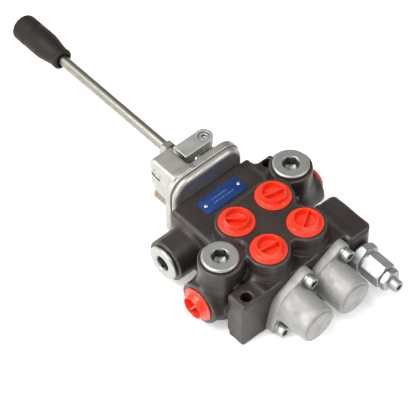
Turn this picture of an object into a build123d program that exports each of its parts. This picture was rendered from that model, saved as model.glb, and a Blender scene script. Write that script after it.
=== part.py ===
"""Two-spool hydraulic monoblock valve with a joystick.

Millimetres.  The origin is on the bottom face, under the middle of the four work ports.
+X runs along the spools towards the spring caps, -X towards the joystick, +Z is up.
"""
import os

from build123d import *

# ---- casting ----------------------------------------------------------------------------
DECK_Z = 48.0                       # top of the low deck
PORT_Z = 64.0                       # machined face that carries the work ports
END_X = 38.0                        # machined end under the spring caps
LEVER_X = -69.0                     # machined end under the adapter plate
HALF_W = 41.0                       # half width of the block between the spools' outer walls
SPOOL_PITCH = 38.0
SPOOL_Y = SPOOL_PITCH / 2
SPOOL_Z = 25.0
PORT_X = 17.75
BOSS_R = 18.0
G12_BORE_R = 10.4                   # tapped G1/2 hole, at its drill size
FLANGE_R = 14.6                     # plug flange

NEAR_PLUG = (-1.2, -51.0)           # steel plugs in the top
FAR_PLUG = (-31.5, 51.0)
INLET_X = -1.5                      # side port with a plastic cap, on the -Y side
TANK_X = -48.7                      # side port with a steel plug, on the -Y side
OUTLET_X = -31.5                    # side port with a plastic cap, on the +Y side
INLET_Y = -73.0
TANK_Y = -64.5
OUTLET_Y = 73.0

LUG_HOLES = [(30.2, -53.2), (-54.5, 48.5)]
LUG_HOLE_R = 4.5

RELIEF_Y = 51.0                     # relief valve, along +X
RELIEF_Z = SPOOL_Z
RELIEF_FACE_X = 46.5

# ---- spools and spring caps ---------------------------------------------------------------
SPOOL_R = 9.0
FIT = 0.05                          # running clearance on the radius
CAP_R = 16.5
CAP_END_X = 74.5
CAP_FLANGE_T = 8.0
CAP_BOLT = (14.3, 18.0)             # cap bolt offset from the spool's axis, in Y and Z
SPRING_X = (41.0, 64.0)

# ---- joystick -----------------------------------------------------------------------------
PLATE_X = -74.0                     # adapter plate: LEVER_X .. PLATE_X
GASKET_X = -74.8
FLANGE_X = -82.6                    # housing flange: GASKET_X .. FLANGE_X
PLATE_HALF_W = 35.4
PLATE_LOW_Z = 0.8
PLATE_TOP_Z = 68.8
PLATE_CORNER = 15.0
PLATE_BEVEL = 2.6                   # around the face that meets the casting
FLANGE_HALF_W = 36.0                # the housing flange stands a little proud of the plate
FLANGE_Z = (0.5, 70.0)
FLANGE_CORNER = 15.0
HOUSING_BOLTS = [(-21, 8), (21, 8), (0, 8), (28, 42)]
TILT_X = -97.0                      # both lever axes pass over this X
TILT_Z = 60.0
LEVER_Z = 47.0
EAR_Y = (-29.9, -10.5)              # the housing's ear stands over spool 1
BAR_Z = (58.5, 67.3)
BAR_HALF_W = 7.4
BAR_END_Y = -6.6
BALL_Z = 53.5
BALL_R = 3.2
KNOB_R = 8.0
SLOT_HALF = 4.35

os.makedirs("parts", exist_ok=True)


def save(part, name):
    """Label a finished piece and write its STEP file."""
    part.label = name
    export_step(part, f"parts/{name}.step")


def along_x(x, y=0.0, z=0.0):
    """Plane at x whose normal is +X; its sketch axes are +Y and +Z."""
    return Plane(origin=(x, y, z), x_dir=(0, 1, 0), z_dir=(1, 0, 0))


def along_y(y, x=0.0, z=0.0, sign=1):
    """Plane at y whose normal is +Y or -Y; its first sketch axis is +X or -X."""
    return Plane(origin=(x, y, z), x_dir=(-sign, 0, 0), z_dir=(0, sign, 0))


def rod(plane, radius, length, mode=Mode.ADD):
    """Cylinder that starts on a plane and runs along its normal."""
    with BuildSketch(plane) as outline:
        Circle(radius)
    extrude(outline.sketch, amount=length, mode=mode)


def hexagon(plane, across_flats, length, mode=Mode.ADD, turn=0.0):
    """Hexagonal prism that starts on a plane."""
    with BuildSketch(plane) as outline:
        RegularPolygon(across_flats / 2, 6, major_radius=False, rotation=turn)
    extrude(outline.sketch, amount=length, mode=mode)


def block(low, high, mode=Mode.ADD):
    """Box between two corners."""
    size = [b - a for a, b in zip(low, high)]
    middle = [(a + b) / 2 for a, b in zip(low, high)]
    with Locations(tuple(middle)):
        Box(*size, mode=mode)


def coil(start, direction, pitch, height, radius, wire_r):
    """Helical spring that starts at a point and grows along a direction."""
    with BuildLine() as path:
        Helix(pitch=pitch, height=height, radius=radius, center=start, direction=direction)
    with BuildSketch(Plane(origin=path.line @ 0, z_dir=path.line % 0)) as section:
        Circle(wire_r)
    sweep(section.sketch, path=path.line)


# ==== valve body ===========================================================================
SPOOLS = {"1": -SPOOL_Y, "2": SPOOL_Y}
PORTS = [(sx * PORT_X, sy * SPOOL_Y) for sx in (-1, 1) for sy in (-1, 1)]

with BuildPart() as valve_body:
    block((LEVER_X, -HALF_W, 0), (END_X, HALF_W, DECK_Z))
    fillet(valve_body.edges().filter_by(Axis.Z), 3.0)
    fillet(valve_body.faces().sort_by(Axis.Z)[-1].edges().filter_by(Axis.X), 4.0)
    # island that lifts the work ports above the deck, with a step at its foot
    for x, y in PORTS:
        with BuildSketch(Plane.XY.offset(DECK_Z - 6)):
            with Locations((x, y)):
                Circle(18.8)
        extrude(amount=6 + 2.5)
        with BuildSketch(Plane.XY.offset(DECK_Z)):
            with Locations((x, y)):
                Circle(17.6)
        extrude(amount=PORT_Z - DECK_Z, taper=2.0)
    block((-PORT_X, -SPOOL_Y - 17.0, DECK_Z - 4), (PORT_X, SPOOL_Y + 17.0, PORT_Z))
    block((-PORT_X - 17.0, -SPOOL_Y, DECK_Z - 4), (PORT_X + 17.0, SPOOL_Y, PORT_Z))
    # webs that tie the top plugs' bosses to the island
    block((NEAR_PLUG[0] - 13, -46, DECK_Z - 8), (NEAR_PLUG[0] + 13, -30, 60.0))
    block((FAR_PLUG[0] - 13, 30, DECK_Z - 8), (FAR_PLUG[0] + 13, 46, 60.0))
    for x, y in (NEAR_PLUG, FAR_PLUG):
        rod(Plane(origin=(x, y, 8)), BOSS_R, 62.5 - 8)
    # side bosses
    rod(along_y(INLET_Y, INLET_X, SPOOL_Z), BOSS_R, 40)
    rod(along_y(TANK_Y, TANK_X, SPOOL_Z), BOSS_R, 30)
    rod(along_y(OUTLET_Y, OUTLET_X, SPOOL_Z, sign=-1), BOSS_R, 40)
    # mounting lugs and relief valve block
    block((19.0, -63.0, 0), (END_X, -38.0, DECK_Z))
    block((-60.5, 38.0, 0), (-42.0, 57.0, DECK_Z))
    with BuildSketch(Plane.XY.offset(4)):
        with Locations(((RELIEF_FACE_X + 1.5) / 2, (40.6 + 66.5) / 2)):
            RectangleRounded(RELIEF_FACE_X - 1.5, 66.5 - 40.6, 9.0)
    extrude(amount=DECK_Z - 4)
    block((1.5, 38.0, 4), (END_X, 50.0, DECK_Z))
    # mounting holes
    for x, y in LUG_HOLES:
        rod(Plane(origin=(x, y, -1)), LUG_HOLE_R, DECK_Z + 2, mode=Mode.SUBTRACT)
    # spool bores, each with five annular chambers and a counterbore under its spring cap
    for y in SPOOLS.values():
        rod(along_x(LEVER_X - 1, y, SPOOL_Z), SPOOL_R + FIT, END_X - LEVER_X + 2, mode=Mode.SUBTRACT)
        for x in (-PORT_X - 17, -PORT_X, -1.5, PORT_X - 1.5):
            rod(along_x(x - 3.5, y, SPOOL_Z), 12.5, 7, mode=Mode.SUBTRACT)
        rod(along_x(30.0, y, SPOOL_Z), 12.2, 9, mode=Mode.SUBTRACT)
        for x in (-65.0, 24.5):
            rod(along_x(x, y, SPOOL_Z), 11.0, 2.6, mode=Mode.SUBTRACT)
    # work ports, down to their chambers
    for x, y in PORTS:
        rod(Plane(origin=(x, y, PORT_Z - 16)), G12_BORE_R, 17, mode=Mode.SUBTRACT)
        rod(Plane(origin=(x, y, SPOOL_Z + 9)), 5.5, 20, mode=Mode.SUBTRACT)
    # top plugs: the near one closes the load check, the far one a spare outlet
    for x, y in (NEAR_PLUG, FAR_PLUG):
        rod(Plane(origin=(x, y, 43)), G12_BORE_R, 20, mode=Mode.SUBTRACT)
        rod(Plane(origin=(x, y, SPOOL_Z)), 5.0, 20, mode=Mode.SUBTRACT)
    rod(along_y(NEAR_PLUG[1], NEAR_PLUG[0], 51.0), 3.5, 32, mode=Mode.SUBTRACT)
    rod(Plane(origin=(NEAR_PLUG[0], -SPOOL_Y, SPOOL_Z + 9)), 3.5, 20, mode=Mode.SUBTRACT)
    # side ports and the galleries behind them
    rod(along_y(INLET_Y - 1, INLET_X, SPOOL_Z), G12_BORE_R, 17, mode=Mode.SUBTRACT)
    rod(along_y(INLET_Y, INLET_X, SPOOL_Z), 5.5, RELIEF_Y - INLET_Y, mode=Mode.SUBTRACT)
    rod(along_y(TANK_Y - 1, TANK_X, SPOOL_Z), G12_BORE_R, 17, mode=Mode.SUBTRACT)
    rod(along_y(TANK_Y, TANK_X, SPOOL_Z), 5.5, SPOOL_Y - TANK_Y, mode=Mode.SUBTRACT)
    rod(along_y(OUTLET_Y + 1, OUTLET_X, SPOOL_Z, sign=-1), G12_BORE_R, 17, mode=Mode.SUBTRACT)
    rod(along_y(OUTLET_Y, OUTLET_X, SPOOL_Z, sign=-1), 5.5, OUTLET_Y - SPOOL_Y, mode=Mode.SUBTRACT)
    # relief valve cavity: wide for the adapter's thread, then the seat
    rod(along_x(24.0, RELIEF_Y, RELIEF_Z), 9.0, RELIEF_FACE_X - 23, mode=Mode.SUBTRACT)
    rod(along_x(-1.5, RELIEF_Y, RELIEF_Z), 4.5, 28, mode=Mode.SUBTRACT)
    # tapped holes for the cap bolts and the housing bolts
    for y in SPOOLS.values():
        for side in (-1, 1):
            start = along_x(END_X - 14, y + side * CAP_BOLT[0], SPOOL_Z + side * CAP_BOLT[1])
            rod(start, 3.0, 15, mode=Mode.SUBTRACT)
    for y, z in HOUSING_BOLTS:
        rod(along_x(LEVER_X - 1, y, z), 3.0, 15, mode=Mode.SUBTRACT)
save(valve_body.part, "valve_body")

# ==== spools, seals, springs and caps ======================================================
for number, y in SPOOLS.items():
    with BuildPart() as spool:
        rod(along_x(TILT_X - KNOB_R, y, SPOOL_Z), KNOB_R, 2 * KNOB_R)
        rod(along_x(TILT_X, y, SPOOL_Z), SPOOL_R - 1, 20)
        rod(along_x(-82.0, y, SPOOL_Z), SPOOL_R, 119)
        rod(along_x(37.0, y, SPOOL_Z), 4.0, 23)
        # grooves between the lands
        for x in (-44.0, -26.0, -10.0, 8.0):
            with BuildSketch(along_x(x, y, SPOOL_Z)):
                Circle(SPOOL_R + 1)
                Circle(5.5, mode=Mode.SUBTRACT)
            extrude(amount=7, mode=Mode.SUBTRACT)
        # slot that takes the drive finger
        block((TILT_X - SLOT_HALF, y - 3.6, SPOOL_Z - 6), (TILT_X + SLOT_HALF, y + 3.6, SPOOL_Z + 10),
              mode=Mode.SUBTRACT)
    save(spool.part, f"spool_{number}")

    with BuildPart() as cap:
        with BuildSketch(along_x(END_X, y, SPOOL_Z)):
            Circle(CAP_R)
            for side in (-1, 1):
                with Locations((side * CAP_BOLT[0], side * CAP_BOLT[1])):
                    Circle(6.6)
            make_hull()
            for side in (-1, 1):
                with Locations((side * CAP_BOLT[0], side * CAP_BOLT[1])):
                    Circle(3.3, mode=Mode.SUBTRACT)
        extrude(amount=CAP_FLANGE_T)
        with BuildSketch(along_x(END_X + CAP_FLANGE_T, y, SPOOL_Z)):
            Circle(CAP_R)
        extrude(amount=CAP_END_X - END_X - CAP_FLANGE_T, taper=1.2)
        fillet(cap.faces().sort_by(Axis.X)[-1].edges(), 1.6)
        rod(along_x(CAP_END_X, y, SPOOL_Z), 13.0, 0.8)
        rod(along_x(END_X, y, SPOOL_Z), 12.2, CAP_END_X - END_X - 4, mode=Mode.SUBTRACT)
    save(cap.part, f"spring_cap_{number}")

    turns = 6
    pitch = (SPRING_X[1] - SPRING_X[0] - 2.2) / turns
    with BuildPart() as spring:
        coil((SPRING_X[0] + 1.1, y, SPOOL_Z), (1, 0, 0), pitch, pitch * turns, 9.0, 1.0)
    save(spring.part, f"centring_spring_{number}")

    with BuildPart() as inner_seat:
        with BuildSketch(along_x(39.0, y, SPOOL_Z)):
            Circle(11.0)
            Circle(4.0, mode=Mode.SUBTRACT)
        extrude(amount=2)
        rod(along_x(37.0, y, SPOOL_Z), 6.5, 2)
        rod(along_x(37.0, y, SPOOL_Z), 4.0, 4, mode=Mode.SUBTRACT)
    save(inner_seat.part, f"inner_spring_seat_{number}")

    with BuildPart() as outer_seat:
        with BuildSketch(along_x(SPRING_X[1], y, SPOOL_Z)):
            Circle(12.2)
            Circle(6.4, mode=Mode.SUBTRACT)
        extrude(amount=2)
    save(outer_seat.part, f"outer_spring_seat_{number}")

    with BuildPart() as end_screw:
        rod(along_x(60.0, y, SPOOL_Z), 5.2, 4)
        hexagon(along_x(61.5, y, SPOOL_Z), 5.0, 3, mode=Mode.SUBTRACT)
    save(end_screw.part, f"spool_end_screw_{number}")

with BuildPart() as spool_seals:
    for y in SPOOLS.values():
        for x in (-65.0, 24.5):
            with BuildSketch(along_x(x + 0.2, y, SPOOL_Z)):
                Circle(11.0)
                Circle(SPOOL_R + FIT, mode=Mode.SUBTRACT)
            extrude(amount=2.2)
save(spool_seals.part, "spool_seals")


def washer(plane, inner, outer, thick):
    """Flat ring that starts on a plane."""
    with BuildSketch(plane) as outline:
        Circle(outer)
        Circle(inner, mode=Mode.SUBTRACT)
    extrude(outline.sketch, amount=thick)


def socket_screw(plane, shank_r, shank, head_r, head, key):
    """Cap screw whose head starts on the plane and whose shank runs back along its normal."""
    rod(plane, head_r, head)
    rod(plane.offset(-shank), shank_r, shank)
    hexagon(plane.offset(head * 0.45), key, head, mode=Mode.SUBTRACT)


WASHER_T = 1.4
CAP_BOLTS = [(y + s * CAP_BOLT[0], SPOOL_Z + s * CAP_BOLT[1]) for y in SPOOLS.values() for s in (-1, 1)]
HEAD_X = END_X + CAP_FLANGE_T
with BuildPart() as cap_lock_washers:
    for y, z in CAP_BOLTS:
        washer(along_x(HEAD_X, y, z), 3.1, 5.0, WASHER_T)
save(cap_lock_washers.part, "cap_lock_washers")

with BuildPart() as cap_screws:
    for y, z in CAP_BOLTS:
        socket_screw(along_x(HEAD_X + WASHER_T, y, z), 2.95, 21, 5.0, 6.0, 5.0)
save(cap_screws.part, "cap_screws")

# ==== ports: steel plugs, their seals and plastic caps =======================================
with BuildPart() as steel_plugs:
    for plane in (Plane(origin=(*NEAR_PLUG, 62.5)), Plane(origin=(*FAR_PLUG, 62.5)),
                  along_y(TANK_Y, TANK_X, SPOOL_Z, sign=-1)):
        with BuildSketch(plane.offset(0.8)):
            Circle(FLANGE_R)
        extrude(amount=1.8)
        with BuildSketch(plane.offset(2.6)):
            Circle(FLANGE_R)
        extrude(amount=0.9, taper=45)
        rod(plane.offset(0.8 - 13), G12_BORE_R - 0.1, 13)
        hexagon(plane.offset(3.5 - 9), 12.0, 10, mode=Mode.SUBTRACT, turn=0)
        rod(plane.offset(0.8 - 13), 6.5, 5, mode=Mode.SUBTRACT)
save(steel_plugs.part, "steel_plugs")

with BuildPart() as plug_seals:
    for plane in (Plane(origin=(*NEAR_PLUG, 62.5)), Plane(origin=(*FAR_PLUG, 62.5)),
                  along_y(TANK_Y, TANK_X, SPOOL_Z, sign=-1)):
        washer(plane, G12_BORE_R, 13.6, 0.8)
save(plug_seals.part, "plug_seals")


def plastic_cap(plane, web_angle):
    """Push-in port cap: flange, hollow skirt in the bore, raised cup with a web across it."""
    rod(plane, 14.4, 1.4)
    with BuildSketch(plane.offset(1.4)) as cup:
        Circle(11.2)
    extrude(cup.sketch, amount=4.8, taper=16)
    rod(plane.offset(-9), G12_BORE_R - 0.1, 9)
    rod(plane.offset(-9), 8.9, 8.2, mode=Mode.SUBTRACT)
    rod(plane.offset(0.6), 8.3, 8, mode=Mode.SUBTRACT)
    with BuildSketch(plane.offset(0.5)) as web:
        Rectangle(17.0, 1.3, rotation=web_angle)
    extrude(web.sketch, amount=4.8)


CAPS = {
    "port_cap_a1": (Plane(origin=(-PORT_X, -SPOOL_Y, PORT_Z)), 48),
    "port_cap_b1": (Plane(origin=(PORT_X, -SPOOL_Y, PORT_Z)), 81),
    "port_cap_a2": (Plane(origin=(-PORT_X, SPOOL_Y, PORT_Z)), 77),
    "port_cap_b2": (Plane(origin=(PORT_X, SPOOL_Y, PORT_Z)), 121),
    "inlet_cap": (along_y(INLET_Y, INLET_X, SPOOL_Z, sign=-1), 60),
    "outlet_cap": (along_y(OUTLET_Y, OUTLET_X, SPOOL_Z), 30),
}
for name, (plane, web_angle) in CAPS.items():
    with BuildPart() as port_cap:
        plastic_cap(plane, web_angle)
    save(port_cap.part, name)

# ==== load check under the near top plug =====================================================
CHECK_X, CHECK_Y = NEAR_PLUG
with BuildPart() as check_poppet:
    rod(Plane(origin=(CHECK_X, CHECK_Y, 43.05)), 7.0, 2)
    rod(Plane(origin=(CHECK_X, CHECK_Y, 45.05)), 2.5, 3.5)
    rod(Plane(origin=(CHECK_X, CHECK_Y, 38.05)), 4.4, 5)
save(check_poppet.part, "check_poppet")

with BuildPart() as check_spring:
    coil((CHECK_X, CHECK_Y, 45.8), (0, 0, 1), 2.2, 8.8, 4.6, 0.6)
save(check_spring.part, "check_spring")

# ==== relief valve ===========================================================================
RELIEF_BODY_X = (56.8, 76.0)
NUT_X = (76.5, 82.0)
ADJUSTER_R = 5.0
ADJUSTER_X = (58.0, 90.0)
with BuildPart() as relief_adapter:
    hexagon(along_x(RELIEF_FACE_X + 1.2, RELIEF_Y, RELIEF_Z), 24.0, 8.1, turn=33)
    rod(along_x(RELIEF_FACE_X - 14, RELIEF_Y, RELIEF_Z), 8.9, 16)
    rod(along_x(RELIEF_FACE_X + 9, RELIEF_Y, RELIEF_Z), 10.0, RELIEF_BODY_X[0] - RELIEF_FACE_X - 9)
    rod(along_x(RELIEF_FACE_X - 15, RELIEF_Y, RELIEF_Z), 6.0, 30, mode=Mode.SUBTRACT)
save(relief_adapter.part, "relief_adapter")

with BuildPart() as relief_seal:
    washer(along_x(RELIEF_FACE_X, RELIEF_Y, RELIEF_Z), 9.0, 11.0, 1.2)
save(relief_seal.part, "relief_seal")

with BuildPart() as relief_body:
    hexagon(along_x(RELIEF_BODY_X[0], RELIEF_Y, RELIEF_Z), 19.5,
            RELIEF_BODY_X[1] - RELIEF_BODY_X[0], turn=33)
    rod(along_x(RELIEF_BODY_X[1], RELIEF_Y, RELIEF_Z), 7.5, NUT_X[0] - RELIEF_BODY_X[1])
    rod(along_x(RELIEF_FACE_X, RELIEF_Y, RELIEF_Z), 5.9, RELIEF_BODY_X[0] - RELIEF_FACE_X)
    rod(along_x(RELIEF_FACE_X - 1, RELIEF_Y, RELIEF_Z), 4.0, 20, mode=Mode.SUBTRACT)
    rod(along_x(ADJUSTER_X[0] - 0.4, RELIEF_Y, RELIEF_Z), ADJUSTER_R, 20, mode=Mode.SUBTRACT)
save(relief_body.part, "relief_body")

with BuildPart() as relief_lock_nut:
    hexagon(along_x(NUT_X[0], RELIEF_Y, RELIEF_Z), 17.0, NUT_X[1] - NUT_X[0], turn=38)
    chamfer(relief_lock_nut.faces().sort_by(Axis.X)[-1].edges(), 0.8)
    rod(along_x(NUT_X[0] - 1, RELIEF_Y, RELIEF_Z), ADJUSTER_R, 10, mode=Mode.SUBTRACT)
save(relief_lock_nut.part, "relief_lock_nut")

with BuildPart() as relief_adjuster:
    rod(along_x(ADJUSTER_X[0], RELIEF_Y, RELIEF_Z), ADJUSTER_R - FIT, ADJUSTER_X[1] - ADJUSTER_X[0])
    chamfer(relief_adjuster.faces().sort_by(Axis.X)[-1].edges(), 0.6)
    hexagon(along_x(ADJUSTER_X[1] - 5, RELIEF_Y, RELIEF_Z), 5.0, 6, mode=Mode.SUBTRACT)
save(relief_adjuster.part, "relief_adjuster")

with BuildPart() as relief_poppet:
    rod(along_x(24.05, RELIEF_Y, RELIEF_Z), 6.5, 2.45)
    rod(along_x(21.0, RELIEF_Y, RELIEF_Z), 4.3, 4)
    rod(along_x(26.5, RELIEF_Y, RELIEF_Z), 2.0, 6)
save(relief_poppet.part, "relief_poppet")

with BuildPart() as relief_spring:
    coil((27.3, RELIEF_Y, RELIEF_Z), (1, 0, 0), 3.7, 29.6, 3.05, 0.6)
save(relief_spring.part, "relief_spring")

# ==== label plate and its drive rivets =======================================================
LABEL_X, LABEL_T = -53.9, 0.8
with BuildPart() as label_plate:
    with BuildSketch(Plane.XY.offset(DECK_Z)):
        with Locations((LABEL_X, -0.6)):
            RectangleRounded(15.4, 42.0, 2.4)
    extrude(amount=LABEL_T)
save(label_plate.part, "label_plate")

with BuildPart() as label_rivets:
    for y in (-17.6, 16.4):
        with Locations((LABEL_X, y, DECK_Z + LABEL_T + 0.5)):
            Cylinder(1.7, 1.0)
    fillet(label_rivets.edges().filter_by(GeomType.CIRCLE).group_by(Axis.Z)[-1], 0.8)
save(label_rivets.part, "label_rivets")

# ==== adapter plate, gasket and joystick housing =============================================
def plate_outline(x, half_w, low_z, top_z, corner):
    """Rounded rectangle in a plane across the spools, pierced for the spools and the bolts."""
    middle_z = (low_z + top_z) / 2
    with BuildSketch(along_x(x, 0, middle_z)) as outline:
        RectangleRounded(2 * half_w, top_z - low_z, corner)
        for y in SPOOLS.values():
            with Locations((y, SPOOL_Z - middle_z)):
                Circle(SPOOL_R + 0.8, mode=Mode.SUBTRACT)
        for y, z in HOUSING_BOLTS:
            with Locations((y, z - middle_z)):
                Circle(3.2, mode=Mode.SUBTRACT)
    return outline.sketch


with BuildPart() as adapter_plate:
    extrude(plate_outline(PLATE_X, PLATE_HALF_W, PLATE_LOW_Z, PLATE_TOP_Z, PLATE_CORNER),
            amount=LEVER_X - PLATE_X)
    chamfer(adapter_plate.faces().sort_by(Axis.X)[-1].outer_wire().edges(), PLATE_BEVEL)
save(adapter_plate.part, "adapter_plate")

with BuildPart() as housing_gasket:
    extrude(plate_outline(GASKET_X, PLATE_HALF_W - 0.8, PLATE_LOW_Z + 0.8, PLATE_TOP_Z - 0.8,
                          PLATE_CORNER - 0.8), amount=PLATE_X - GASKET_X)
save(housing_gasket.part, "housing_gasket")

CHEEK = 4.0
EAR_END_X = -106.0
EAR_LOW_Z = 35.2
EAR_TOP_Z = 70.0
with BuildPart() as joystick_housing:
    extrude(plate_outline(FLANGE_X, FLANGE_HALF_W, *FLANGE_Z, FLANGE_CORNER), amount=GASKET_X - FLANGE_X)
    # the ear's side view: chamfered at the top, with a large round at the free lower corner
    with BuildSketch(along_y(EAR_Y[0])):
        with BuildLine():
            Polyline((-EAR_END_X, 47), (-EAR_END_X, EAR_TOP_Z - 4), (-EAR_END_X - 4, EAR_TOP_Z),
                     (-FLANGE_X - 3, EAR_TOP_Z), (-FLANGE_X - 3, EAR_LOW_Z),
                     (-EAR_END_X - 13, EAR_LOW_Z))
            ThreePointArc((-EAR_END_X - 13, EAR_LOW_Z), (-EAR_END_X - 3.8, 38.4), (-EAR_END_X, 47))
        make_face()
    extrude(amount=EAR_Y[1] - EAR_Y[0])
    block((EAR_END_X - 1, EAR_Y[0] + CHEEK, EAR_LOW_Z - 1), (FLANGE_X - 1, EAR_Y[1] - CHEEK, 67.4),
          mode=Mode.SUBTRACT)
    rod(along_y(EAR_Y[0] - 1, TILT_X, TILT_Z), 3.5 + FIT, EAR_Y[1] - EAR_Y[0] + 2, mode=Mode.SUBTRACT)
    block((EAR_END_X - 1, EAR_Y[0] - 1, 52.6), (TILT_X + 3, EAR_Y[0] + CHEEK + 1, 54.8), mode=Mode.SUBTRACT)
save(joystick_housing.part, "joystick_housing")

with BuildPart() as housing_screws:
    for y, z in HOUSING_BOLTS:
        head_plane = Plane(origin=(FLANGE_X, y, z), x_dir=(0, 1, 0), z_dir=(-1, 0, 0))
        socket_screw(head_plane, 2.95, 25, 5.0, 6.0, 5.0)
save(housing_screws.part, "housing_screws")

# ==== tilting parts ==========================================================================
ARM_HALF = 2.5                      # slim enough to lean inside the spool's slot
YOKE_PLATE_Y = (-10.2, -7.8)
YOKE_EYE_Y = -9.1
with BuildPart() as tilt_shaft:
    rod(along_y(EAR_Y[0], TILT_X, TILT_Z), 3.5, YOKE_EYE_Y - EAR_Y[0])
save(tilt_shaft.part, "tilt_shaft")

with BuildPart() as rocker_arm:
    middle_y = -SPOOL_Y
    rod(along_y(middle_y - 3.5, TILT_X, TILT_Z), 6.8, 7)
    block((TILT_X - ARM_HALF, middle_y - 3.2, SPOOL_Z), (TILT_X + ARM_HALF, middle_y + 3.2, TILT_Z - 4))
    rod(along_y(middle_y - 3.2, TILT_X, SPOOL_Z), 4.0, 6.4)
    rod(along_y(middle_y - 4, TILT_X, TILT_Z), 3.5, 8, mode=Mode.SUBTRACT)
save(rocker_arm.part, "rocker_arm")

PIN_R = 3.0
with BuildPart() as yoke:
    block((TILT_X - 5, YOKE_PLATE_Y[0], 33.0), (TILT_X + 5, YOKE_PLATE_Y[1], 57.5))
    block((TILT_X - 5, YOKE_PLATE_Y[0], 57.0), (TILT_X + 5, YOKE_EYE_Y, 64.5))
    block((TILT_X - 7, YOKE_PLATE_Y[0], 33.0), (TILT_X + 7, 7.0, 38.6))
    rod(along_y(YOKE_PLATE_Y[0] - 1, TILT_X, TILT_Z), 3.5, 4, mode=Mode.SUBTRACT)
    rod(Plane(origin=(TILT_X, 0, 32)), PIN_R, 8, mode=Mode.SUBTRACT)
save(yoke.part, "yoke")

with BuildPart() as swing_pin:
    rod(Plane(origin=(TILT_X, 0, 33)), PIN_R, 32)
save(swing_pin.part, "swing_pin")

# ==== swinging parts =========================================================================
NUT_LEVER_X = (-115.5, -121.5)
ROD_R = 4.5
GRIP_X = (-249.0, -304.4)
GRIP_R = 11.9
GRIP_ROUND = 5.0
with BuildPart() as swing_hub:
    rod(Plane(origin=(TILT_X, 0, 38.9)), 7.2, BAR_Z[0] - 38.9)
    rod(along_x(NUT_LEVER_X[0], 0, LEVER_Z), 5.8, TILT_X - NUT_LEVER_X[0])
    rod(Plane(origin=(TILT_X, 0, 38)), PIN_R + FIT, 22, mode=Mode.SUBTRACT)
    rod(along_x(NUT_LEVER_X[0] - 1, 0, LEVER_Z), ROD_R, 13, mode=Mode.SUBTRACT)
save(swing_hub.part, "swing_hub")

with BuildPart() as swing_bar:
    with BuildSketch(Plane.XY.offset(BAR_Z[0])):
        with Locations((TILT_X, (SPOOL_Y + BAR_END_Y) / 2)):
            Rectangle(2 * BAR_HALF_W, SPOOL_Y - BAR_END_Y)
        with Locations((TILT_X, SPOOL_Y)):
            Circle(BAR_HALF_W)
    extrude(amount=BAR_Z[1] - BAR_Z[0])
    chamfer(swing_bar.faces().sort_by(Axis.Z)[-1].edges(), 0.5)
    rod(Plane(origin=(TILT_X, SPOOL_Y, BAR_Z[1] - 4)), 4.7, 5, mode=Mode.SUBTRACT)
    rod(Plane(origin=(TILT_X, SPOOL_Y, BAR_Z[0] - 1)), 2.5, 8, mode=Mode.SUBTRACT)
    rod(Plane(origin=(TILT_X, 0, BAR_Z[0] - 1)), PIN_R + FIT, 7.7, mode=Mode.SUBTRACT)
save(swing_bar.part, "swing_bar")

with BuildPart() as ball_pin:
    with Locations((TILT_X, SPOOL_Y, BALL_Z)):
        Sphere(BALL_R)
    rod(Plane(origin=(TILT_X, SPOOL_Y, BALL_Z)), 2.4, BAR_Z[1] - 4 - BALL_Z)
    rod(Plane(origin=(TILT_X, SPOOL_Y, BAR_Z[1] - 4)), 4.3, 3.2)
    hexagon(Plane(origin=(TILT_X, SPOOL_Y, BAR_Z[1] - 2.6)), 4.0, 4, mode=Mode.SUBTRACT)
save(ball_pin.part, "ball_pin")

with BuildPart() as lever_lock_nut:
    hexagon(along_x(NUT_LEVER_X[1], 0, LEVER_Z), 13.0, NUT_LEVER_X[0] - NUT_LEVER_X[1])
    rod(along_x(NUT_LEVER_X[1] - 1, 0, LEVER_Z), ROD_R, 10, mode=Mode.SUBTRACT)
save(lever_lock_nut.part, "lever_lock_nut")

with BuildPart() as lever_rod:
    rod(along_x(GRIP_X[0] - 30, 0, LEVER_Z), ROD_R, NUT_LEVER_X[0] + 11 - GRIP_X[0] + 30)
    chamfer(lever_rod.edges().filter_by(GeomType.CIRCLE), 0.8)
save(lever_rod.part, "lever_rod")

with BuildPart() as grip:
    start, end = GRIP_X
    with BuildSketch(Plane.XZ):
        with BuildLine():
            Polyline((end, 0), (start, 0), (start, 8.2), (start - 1.5, 9.1))
            Spline((start - 1.5, 9.1), (start - 10, 10.1), (start - 23, GRIP_R),
                   tangents=[(-1, 0.1), (-1, 0)])
            Line((start - 23, GRIP_R), (end + GRIP_ROUND, GRIP_R))
            CenterArc((end + GRIP_ROUND, GRIP_R - GRIP_ROUND), GRIP_ROUND, 90, 90)
            Line((end, GRIP_R - GRIP_ROUND), (end, 0))
        make_face()
    revolve(axis=Axis.X)
    rod(along_x(start - 30, 0, 0), ROD_R, 31, mode=Mode.SUBTRACT)
save(grip.part.moved(Location((0, 0, LEVER_Z))), "grip")

# ==== drive link of spool 2 ==================================================================
FORK_GAP = 4.3
FORK_HALF = 6.8
with BuildPart() as drive_link:
    block((TILT_X - FORK_HALF, SPOOL_Y - 4, 42), (TILT_X + FORK_HALF, SPOOL_Y + 4, 55.8))
    block((TILT_X - SLOT_HALF, SPOOL_Y - 3.6, SPOOL_Z - 6), (TILT_X + SLOT_HALF, SPOOL_Y + 3.6, 42))
    block((TILT_X - FORK_GAP, SPOOL_Y - 5, 47.5), (TILT_X + FORK_GAP, SPOOL_Y + 5, 57), mode=Mode.SUBTRACT)
save(drive_link.part, "drive_link")
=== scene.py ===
# %% [markdown]
# # A hydraulic monoblock valve, dressed around its frame
#
# The frame holds every piece at its real place and size. This lesson gives the valve its looks:
# a painted iron casting with real fillets, die-cast caps, turned and zinc-plated steel, glossy
# plastic port caps and a polished grip. Lengths in the piece functions are millimetres, and
# one helper turns them into Blender's metres.

# %% Load the frame
import math

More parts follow.
